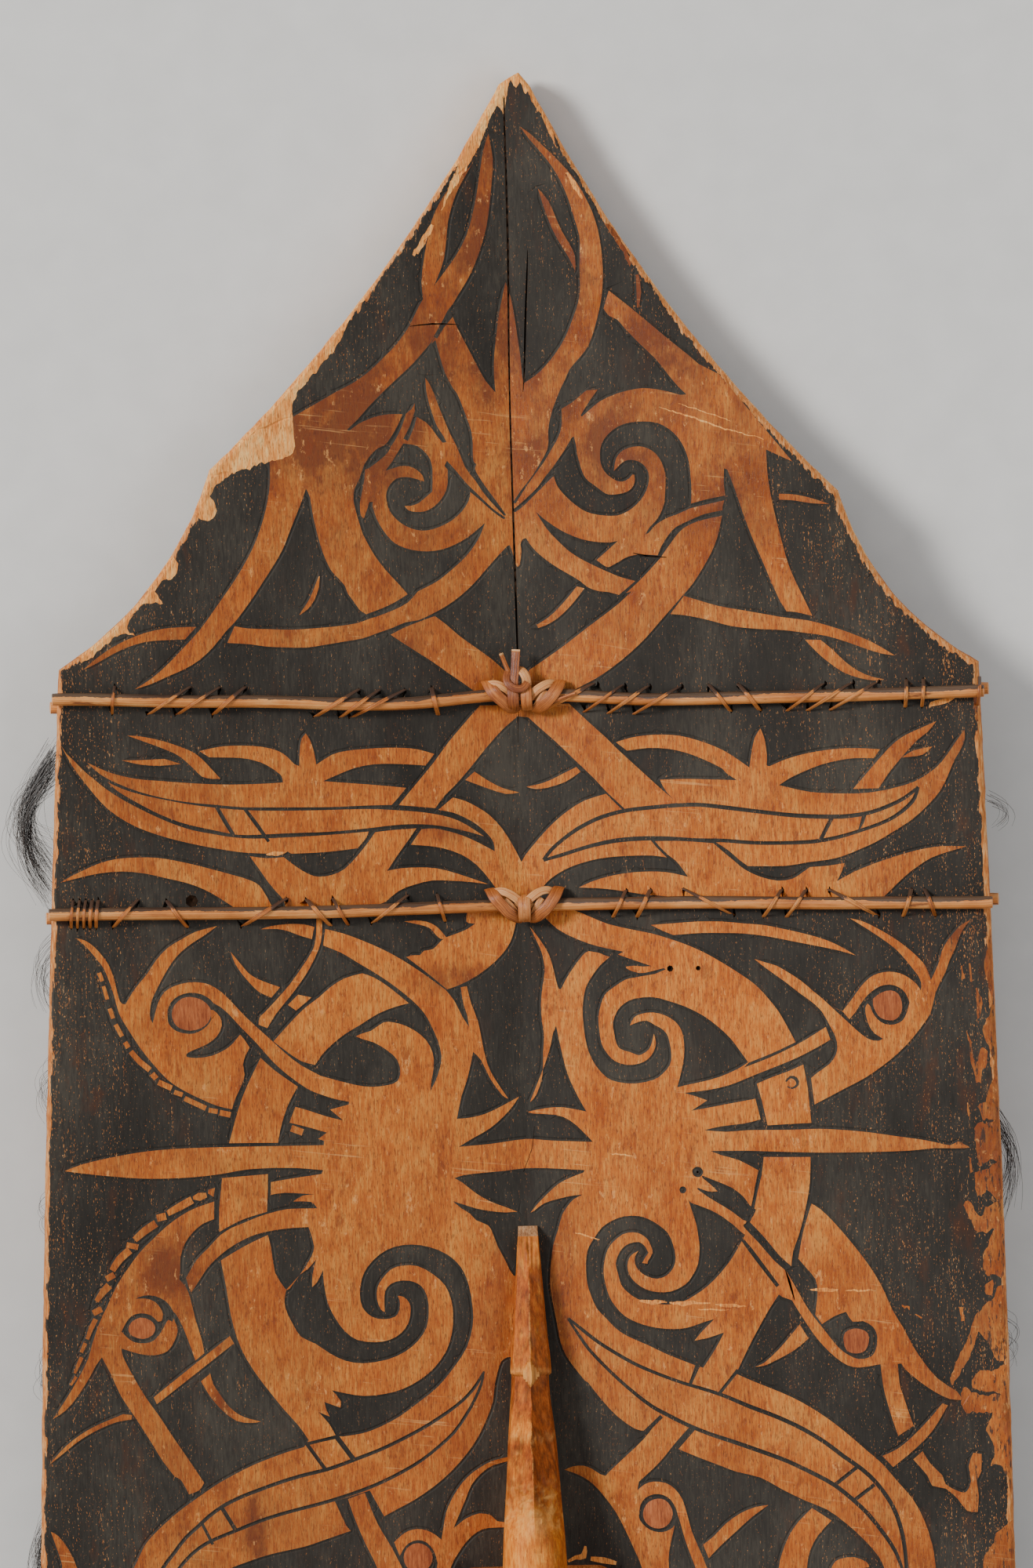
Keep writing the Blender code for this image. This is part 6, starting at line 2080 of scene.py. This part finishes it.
def figure_wood():
    """The figures: bare orange-brown wood, darker and redder where it is stained, and darker over the left
    wing with painted shade.
    """
    finish = Finish("figure_wood")
    colour, fine, broad, pore = wood_grain(
        finish, srgb(176, 85, 26), srgb(208, 116, 39), srgb(228, 149, 65)
    )
    blots = finish.pattern((46.0, 30.0, 30.0), detail=6.0, rough=0.72)
    # The "stain" value holds the stains and the painted shade of the left wing.
    stain = finish.times(finish.read("stain"), finish.step(blots, 0.32, 0.68, 0.5, 1.35), clamp=True)
    colour = finish.mix(finish.times(stain, 0.9), colour, srgb(104, 48, 24))
    colour = finish.mix(finish.times(pore, 0.55), colour, srgb(92, 42, 16))
    spots = finish.pattern((230.0, 90.0, 200.0), move=(3.0, 8.0, 2.0), detail=4.0, rough=0.7)
    colour = finish.mix(finish.step(spots, 0.56, 0.68, 0.0, 0.6), colour, srgb(126, 56, 22))
    scuffs = finish.pattern((26.0, 700.0, 30.0), turn=0.12, detail=3.0, rough=0.65)
    where = finish.pattern((24.0, 30.0, 30.0), move=(8.0, 1.0, 1.0), detail=2.0)
    scuff = finish.times(finish.step(scuffs, 0.62, 0.7), finish.step(where, 0.5, 0.62))
    colour = finish.mix(finish.times(scuff, 0.4), colour, srgb(240, 178, 108))
    flecks = finish.pattern((330.0, 150.0, 200.0), move=(9.0, 4.0, 1.0), detail=4.0, rough=0.75)
    colour = finish.mix(finish.step(flecks, 0.6, 0.7, 0.0, 0.55), colour, srgb(240, 170, 98))
    crumbs = finish.pattern((700.0, 150.0, 500.0), move=(2.0, 2.0, 5.0), detail=4.0, rough=0.7)
    more = finish.step(finish.read("worn"), 0.7, 1.0, -0.2, 0.04)
    crumbs = finish.step(finish.plus(crumbs, more), 0.6, 0.63)
    colour = finish.mix(finish.times(crumbs, 0.85), colour, srgb(52, 42, 36))
    height = finish.minus(finish.times(fine, 0.35), finish.times(pore, 0.6))
    finish.bump(height, 0.3, 0.0003)
    return finish.done(colour, finish.step(broad, 0.35, 0.65, 0.42, 0.58))


def black_paint():
    """Matt black paint that the wood shows through: specks along the grain, and the rubbed edges."""
    finish = Finish("black_paint")
    edge, worn = finish.read("edge"), finish.read("worn")
    streaks = finish.pattern((1300.0, 170.0, 600.0), detail=5.0, rough=0.7)
    broad = finish.pattern((30.0, 14.0, 20.0), detail=5.0, rough=0.6)
    tone = finish.plus(finish.times(streaks, 0.45), finish.times(broad, 0.55))
    black = finish.ramp(
        tone, (0.38, srgb(37, 33, 28)), (0.5, srgb(51, 46, 40)), (0.62, srgb(71, 65, 56))
    )
    rubbed = finish.pattern((90.0, 30.0, 60.0), move=(6.0, 6.0, 6.0), detail=5.0, rough=0.7)
    rubbed = finish.times(finish.step(rubbed, 0.54, 0.7), finish.step(worn, 0.1, 0.8, 0.2, 1.0))
    black = finish.mix(finish.times(rubbed, 0.5), black, srgb(84, 46, 26))
    bare = finish.ramp(
        streaks, (0.34, srgb(160, 84, 34)), (0.5, srgb(204, 128, 64)), (0.66, srgb(226, 172, 116))
    )
    rows = finish.pattern((1100.0, 40.0, 300.0), move=(5.0, 2.0, 3.0), detail=2.0)
    speck = finish.pattern((2900.0, 850.0, 700.0), move=(5.0, 2.0, 3.0), detail=1.0)
    speck = finish.plus(finish.times(speck, 0.72), finish.times(rows, 0.28))
    patch = finish.pattern((60.0, 26.0, 60.0), move=(1.0, 8.0, 3.0), detail=4.0, rough=0.65)
    wear = finish.times(worn, finish.step(patch, 0.35, 0.68, 0.25, 1.25))
    start = finish.minus(0.645, finish.times(wear, 0.05))
    shown = finish.step(finish.minus(speck, start), 0.0, 0.04)
    shown = finish.times(shown, finish.step(wear, 0.0, 0.6, 0.32, 0.62))
    tear = finish.pattern((420.0, 100.0, 400.0), move=(2.0, 6.0, 4.0), detail=4.0, rough=0.6)
    reach = finish.step(tear, 0.34, 0.7, 0.25, 1.9)
    rim = finish.step(finish.minus(reach, edge), -0.08, 0.12)
    shown = finish.larger(shown, rim)
    colour = finish.mix(shown, black, bare)
    height = finish.minus(finish.times(streaks, 0.4), shown)
    finish.bump(height, 0.25, 0.0002)
    return finish.done(colour, finish.step(streaks, 0.35, 0.65, 0.62, 0.78), sheen=0.25)


def bare_wood(name="bare_edge", stops=((206, 116, 46), (244, 160, 78), (255, 200, 122))):
    """Pale wood where the paint has gone, with dirt in its grain."""
    finish = Finish(name)
    colour, fine, _, pore = wood_grain(finish, *(srgb(*stop) for stop in stops))
    colour = finish.mix(finish.times(pore, 0.55), colour, srgb(120, 70, 38))
    dirt = finish.pattern((120.0, 60.0, 120.0), move=(4.0, 4.0, 4.0), detail=4.0, rough=0.7)
    colour = finish.mix(finish.step(dirt, 0.55, 0.75, 0.0, 0.65), colour, srgb(110, 58, 30))
    finish.bump(finish.minus(fine, pore), 0.4)
    return finish.done(colour, 0.68)


def red_paint():
    """The discs of the eyes: thin red-brown paint that the grain shows through."""
    finish = Finish("red_disc")
    colour, fine, _, pore = wood_grain(finish, srgb(132, 60, 26), srgb(164, 86, 42), srgb(188, 108, 60))
    colour = finish.mix(finish.times(pore, 0.4), colour, srgb(104, 50, 30))
    finish.bump(fine, 0.3)
    return finish.done(colour, 0.6)


def dark_gap():
    """The inside of cracks and holes, dark with dirt and with painted shade of their depth."""
    finish = Finish("gap_dirt_and_shade")
    dust_and_shade = finish.pattern((400.0, 400.0, 400.0), detail=3.0)
    colour = finish.ramp(dust_and_shade, (0.35, srgb(24, 17, 12)), (0.7, srgb(58, 38, 24)))
    finish.bump(dust_and_shade, 0.3)
    return finish.done(colour, 0.85, sheen=0.1)


def handle_wood():
    """The handle: greasy brown facets, the right ones darker with painted shade, along a bright crest that is
    worn wood with a painted highlight, and a polished yellow grip.
    """
    finish = Finish("handle_wood")
    colour, fine, _, _ = wood_grain(finish, srgb(192, 96, 26), srgb(226, 130, 40), srgb(246, 164, 68))
    lines = finish.pattern((1700.0, 16.0, 1700.0), detail=3.0, rough=0.6)
    colour = finish.mix(finish.step(lines, 0.57, 0.64, 0.0, 0.55), colour, srgb(150, 72, 22))
    patch = finish.pattern((240.0, 110.0, 240.0), move=(7.0, 3.0, 5.0), detail=5.0, rough=0.72)
    # Painted shade: the "stain" value darkens the right facets and the step under the ledge toward brown.
    dark = finish.plus(finish.read("stain"), finish.times(patch, 1.1))
    dark = finish.times(finish.step(dark, 0.62, 1.16), finish.step(finish.read("stain"), 0.02, 0.2))
    mottle = finish.pattern((520.0, 170.0, 520.0), move=(1.0, 5.0, 5.0), detail=4.0, rough=0.7)
    brown = finish.ramp(mottle, (0.38, srgb(92, 34, 8)), (0.5, srgb(136, 58, 16)), (0.66, srgb(182, 90, 30)))
    colour = finish.mix(finish.times(dark, 0.88), colour, brown)
    grease = finish.pattern((130.0, 60.0, 130.0), move=(2.0, 9.0, 1.0), detail=5.0, rough=0.7)
    grease = finish.times(finish.step(grease, 0.5, 0.62), finish.step(finish.read("stain"), 0.15, 0.4))
    colour = finish.mix(finish.times(grease, 0.15), colour, srgb(150, 98, 64))
    chips = finish.pattern((420.0, 260.0, 420.0), move=(4.0, 4.0, 4.0), detail=3.0, rough=0.7)
    # The pale line along the crest is worn wood and a painted highlight on its arris.
    crest = finish.step(finish.read("edge"), 0.1, 0.5, 0.5, 0.0)
    crest = finish.times(crest, finish.step(chips, 0.42, 0.58, 0.0, 1.0))
    crest = finish.times(crest, finish.step(finish.read("stain"), 0.1, 0.25))
    # On the handle the "worn" value holds chips and wear, and the painted highlight along the ledge's brink.
    pale = finish.times(finish.read("worn"), finish.step(chips, 0.35, 0.6, 0.45, 1.0))
    pale = finish.larger(pale, crest)
    colour = finish.mix(finish.times(pale, 0.8), colour, srgb(240, 174, 92))
    height = finish.plus(finish.times(fine, 0.4), finish.times(mottle, 0.6))
    finish.bump(height, 0.2, 0.0008)
    return finish.done(colour, finish.step(grease, 0.0, 1.0, 0.62, 0.5), sheen=0.22)


def strand_place(finish, across, along):
    """A place on a strip, in repeats per millimetre across it and along it."""
    values = {"X": finish.times(finish.read("across"), across)}
    values["Y"] = finish.times(finish.read("along"), along)
    values["Z"] = finish.times(finish.read("tone"), 37.0)
    return finish.add("ShaderNodeCombineXYZ", values).outputs["Vector"]


def rattan():
    """Whole cane: honey-coloured and a little glossy, with paint left along its outer side."""
    finish = Finish("rattan_cane")
    fibre = finish.noise(strand_place(finish, 3.4, 0.03), detail=4.0, rough=0.65)
    broad = finish.noise(strand_place(finish, 0.12, 0.045), detail=4.0, rough=0.6)
    tone = finish.plus(finish.times(fibre, 0.55), finish.times(broad, 0.45))
    colour = finish.ramp(
        tone, (0.34, srgb(146, 74, 28)), (0.5, srgb(220, 136, 62)), (0.64, srgb(244, 180, 108))
    )
    burnt = finish.noise(strand_place(finish, 0.25, 0.05), detail=4.0, rough=0.65)
    colour = finish.mix(finish.step(burnt, 0.6, 0.7, 0.0, 0.75), colour, srgb(92, 40, 22))
    edge = finish.noise(strand_place(finish, 0.9, 0.22), detail=5.0, rough=0.72)
    patch = finish.noise(strand_place(finish, 0.02, 0.03), detail=2.0)
    limit = finish.plus(finish.times(edge, 0.9), finish.times(patch, 1.2))
    over = finish.step(finish.minus(finish.read("paint"), finish.minus(limit, 0.74)), 0.0, 0.05)
    paint = finish.ramp(fibre, (0.34, srgb(40, 33, 27)), (0.66, srgb(84, 72, 60)))
    colour = finish.mix(finish.times(over, 0.92), colour, paint)
    finish.bump(fibre, 0.45)
    return finish.done(colour, finish.step(fibre, 0.3, 0.7, 0.36, 0.52), sheen=0.5)


def split_strip(name, dark, middle, light):
    """Split rattan: fine fibres along it, each strip its own tone, painted shade along its edges, and paint
    on some.
    """
    finish = Finish(name)
    fibre = finish.noise(strand_place(finish, 4.2, 0.05), detail=3.0, rough=0.6)
    broad = finish.noise(strand_place(finish, 0.3, 0.16), detail=4.0, rough=0.65)
    tone = finish.plus(finish.times(finish.minus(fibre, 0.5), 1.5), 0.5)
    tone = finish.plus(finish.times(tone, 0.4), finish.times(broad, 0.3))
    tone = finish.plus(tone, finish.times(finish.read("tone"), 0.3))
    colour = finish.ramp(tone, (0.3, dark), (0.5, middle), (0.72, light))
    stain = finish.noise(strand_place(finish, 0.6, 0.35), detail=4.0, rough=0.7)
    colour = finish.mix(finish.step(stain, 0.58, 0.72, 0.0, 0.6), colour, dark)
    # Painted shade: each strip darkens along its edges, where it meets the cane and the strips beside it.
    colour = finish.mix(finish.step(finish.read("rim"), 0.35, 1.0, 0.0, 0.7), colour, dark)
    worn = finish.noise(strand_place(finish, 0.9, 0.4), detail=4.0, rough=0.7)
    over = finish.step(finish.minus(finish.read("paint"), worn), 0.0, 0.1)
    colour = finish.mix(finish.times(over, 0.9), colour, srgb(60, 52, 47))
    finish.bump(fibre, 0.5)
    return finish.done(colour, finish.step(fibre, 0.3, 0.7, 0.34, 0.54), sheen=0.5)


def hair_finish():
    """Dark brown-black hair, each strand its own shade."""
    finish = Finish("dark_hair")
    shade = finish.noise(strand_place(finish, 0.5, 0.1), detail=2.0)
    shade = finish.plus(finish.times(shade, 0.5), finish.times(finish.read("tone"), 0.5))
    colour = finish.ramp(shade, (0.2, srgb(20, 16, 14)), (0.6, srgb(44, 33, 27)), (0.9, srgb(84, 62, 46)))
    return finish.done(colour, 0.45, sheen=0.5)


def floor_finish():
    """Plain pale paper, with a faint tooth."""
    finish = Finish("pale_floor")
    tooth = finish.pattern((60.0, 60.0, 60.0), detail=4.0)
    colour = finish.ramp(tooth, (0.3, srgb(226, 224, 220)), (0.7, srgb(232, 230, 226)))
    return finish.done(colour, 0.85, sheen=0.2)


def make_finishes():
    """Every finish by the name that the pieces ask for."""
    return {
        "black": black_paint(),
        "wood": figure_wood(),
        "bare": bare_wood(),
        "side": bare_wood("side_wood", ((158, 82, 30), (198, 118, 52), (224, 160, 96))),
        "cut": bare_wood("cut_end", ((140, 92, 58), (172, 124, 84), (196, 152, 112))),
        "red": red_paint(),
        "gap": dark_gap(),
        "hollow": bare_wood("hollow_wood", ((170, 96, 42), (206, 134, 70), (228, 164, 98))),
        "handle": handle_wood(),
        "rattan": rattan(),
        "lacing": split_strip("lacing_strip", srgb(96, 46, 18), srgb(188, 106, 42), srgb(230, 158, 84)),
        "knot": split_strip("knot_strip", srgb(110, 48, 16), srgb(196, 112, 48), srgb(240, 182, 118)),
        "hair": hair_finish(),
    }


# The camera: its height over the shield, how much of the shield's length it sees, where it aims and
# how far it is turned.
CAMERA_HEIGHT = 4.0
VIEW_LENGTH = 0.6173
AIM = (-0.8, 345.8)
ROLL = math.radians(-1.2)
SENSOR = 36.0


def build_stage():
    """A plain pale floor that runs far past the shield."""
    reach = 6.0
    corners = [(-reach, -reach, 0.0), (reach, -reach, 0.0), (reach, reach, 0.0), (-reach, reach, 0.0)]
    mesh = bpy.data.meshes.new("floor")
    mesh.from_pydata([(x, y, CAD_BOX[0][2]) for x, y, _ in corners], [], [[0, 1, 2, 3]])
    mesh.materials.append(floor_finish())
    add_object("floor", mesh)


def add_light(name, place, target, size, power, colour=(1.0, 1.0, 1.0)):
    """A soft square light at a place, turned to a target."""
    light = bpy.data.lights.new(name, "AREA")
    light.shape = "SQUARE"
    light.size = size
    light.energy = power
    light.color = colour
    ob = bpy.data.objects.new(name, light)
    ob.location = place
    ob.rotation_euler = (Vector(target) - Vector(place)).to_track_quat("-Z", "Y").to_euler()
    bpy.context.scene.collection.objects.link(ob)


def build_lights():
    """A key light from the upper left, a weaker one from the right, and an even sky."""
    middle = (0.0, 0.3, 0.0)
    add_light("key", (-4.2, 2.2, 3.6), middle, 1.5, 335.0, (1.0, 0.985, 0.96))
    add_light("fill", (1.7, 0.2, 1.9), middle, 1.6, 14.0, (0.97, 0.985, 1.0))
    world_light = bpy.data.worlds.new("studio")
    world_light.use_nodes = True
    sky = world_light.node_tree.nodes["Background"]
    sky.inputs["Color"].default_value = (0.95, 0.97, 1.0, 1.0)
    sky.inputs["Strength"].default_value = 0.42
    bpy.context.scene.world = world_light


def build_camera():
    """A long lens that looks straight down on the upper half of the shield."""
    camera = bpy.data.cameras.new("camera")
    camera.sensor_fit = "VERTICAL"
    camera.sensor_height = SENSOR
    surface = CREASE_Z * MM
    camera.lens = SENSOR * (CAMERA_HEIGHT - surface) / VIEW_LENGTH
    camera.clip_end = 30.0
    ob = bpy.data.objects.new("camera", camera)
    ob.location = ((AIM[0] + RIDGE_X) * MM, AIM[1] * MM, CAMERA_HEIGHT)
    ob.rotation_euler = (0.0, 0.0, ROLL)
    bpy.context.scene.collection.objects.link(ob)
    bpy.context.scene.camera = ob


def main():
    noise.seed_set(TEAR_SEED)
    finishes = make_finishes()
    build_body(finishes)
    for end in (1, -1):
        for row in ("outer", "inner"):
            add_back_cane(row, end, finishes)
            add_front_cane(row, end, finishes)
            add_knot(row, end, finishes)
    add_hair(finishes)
    build_stage()
    build_lights()
    build_camera()


main()
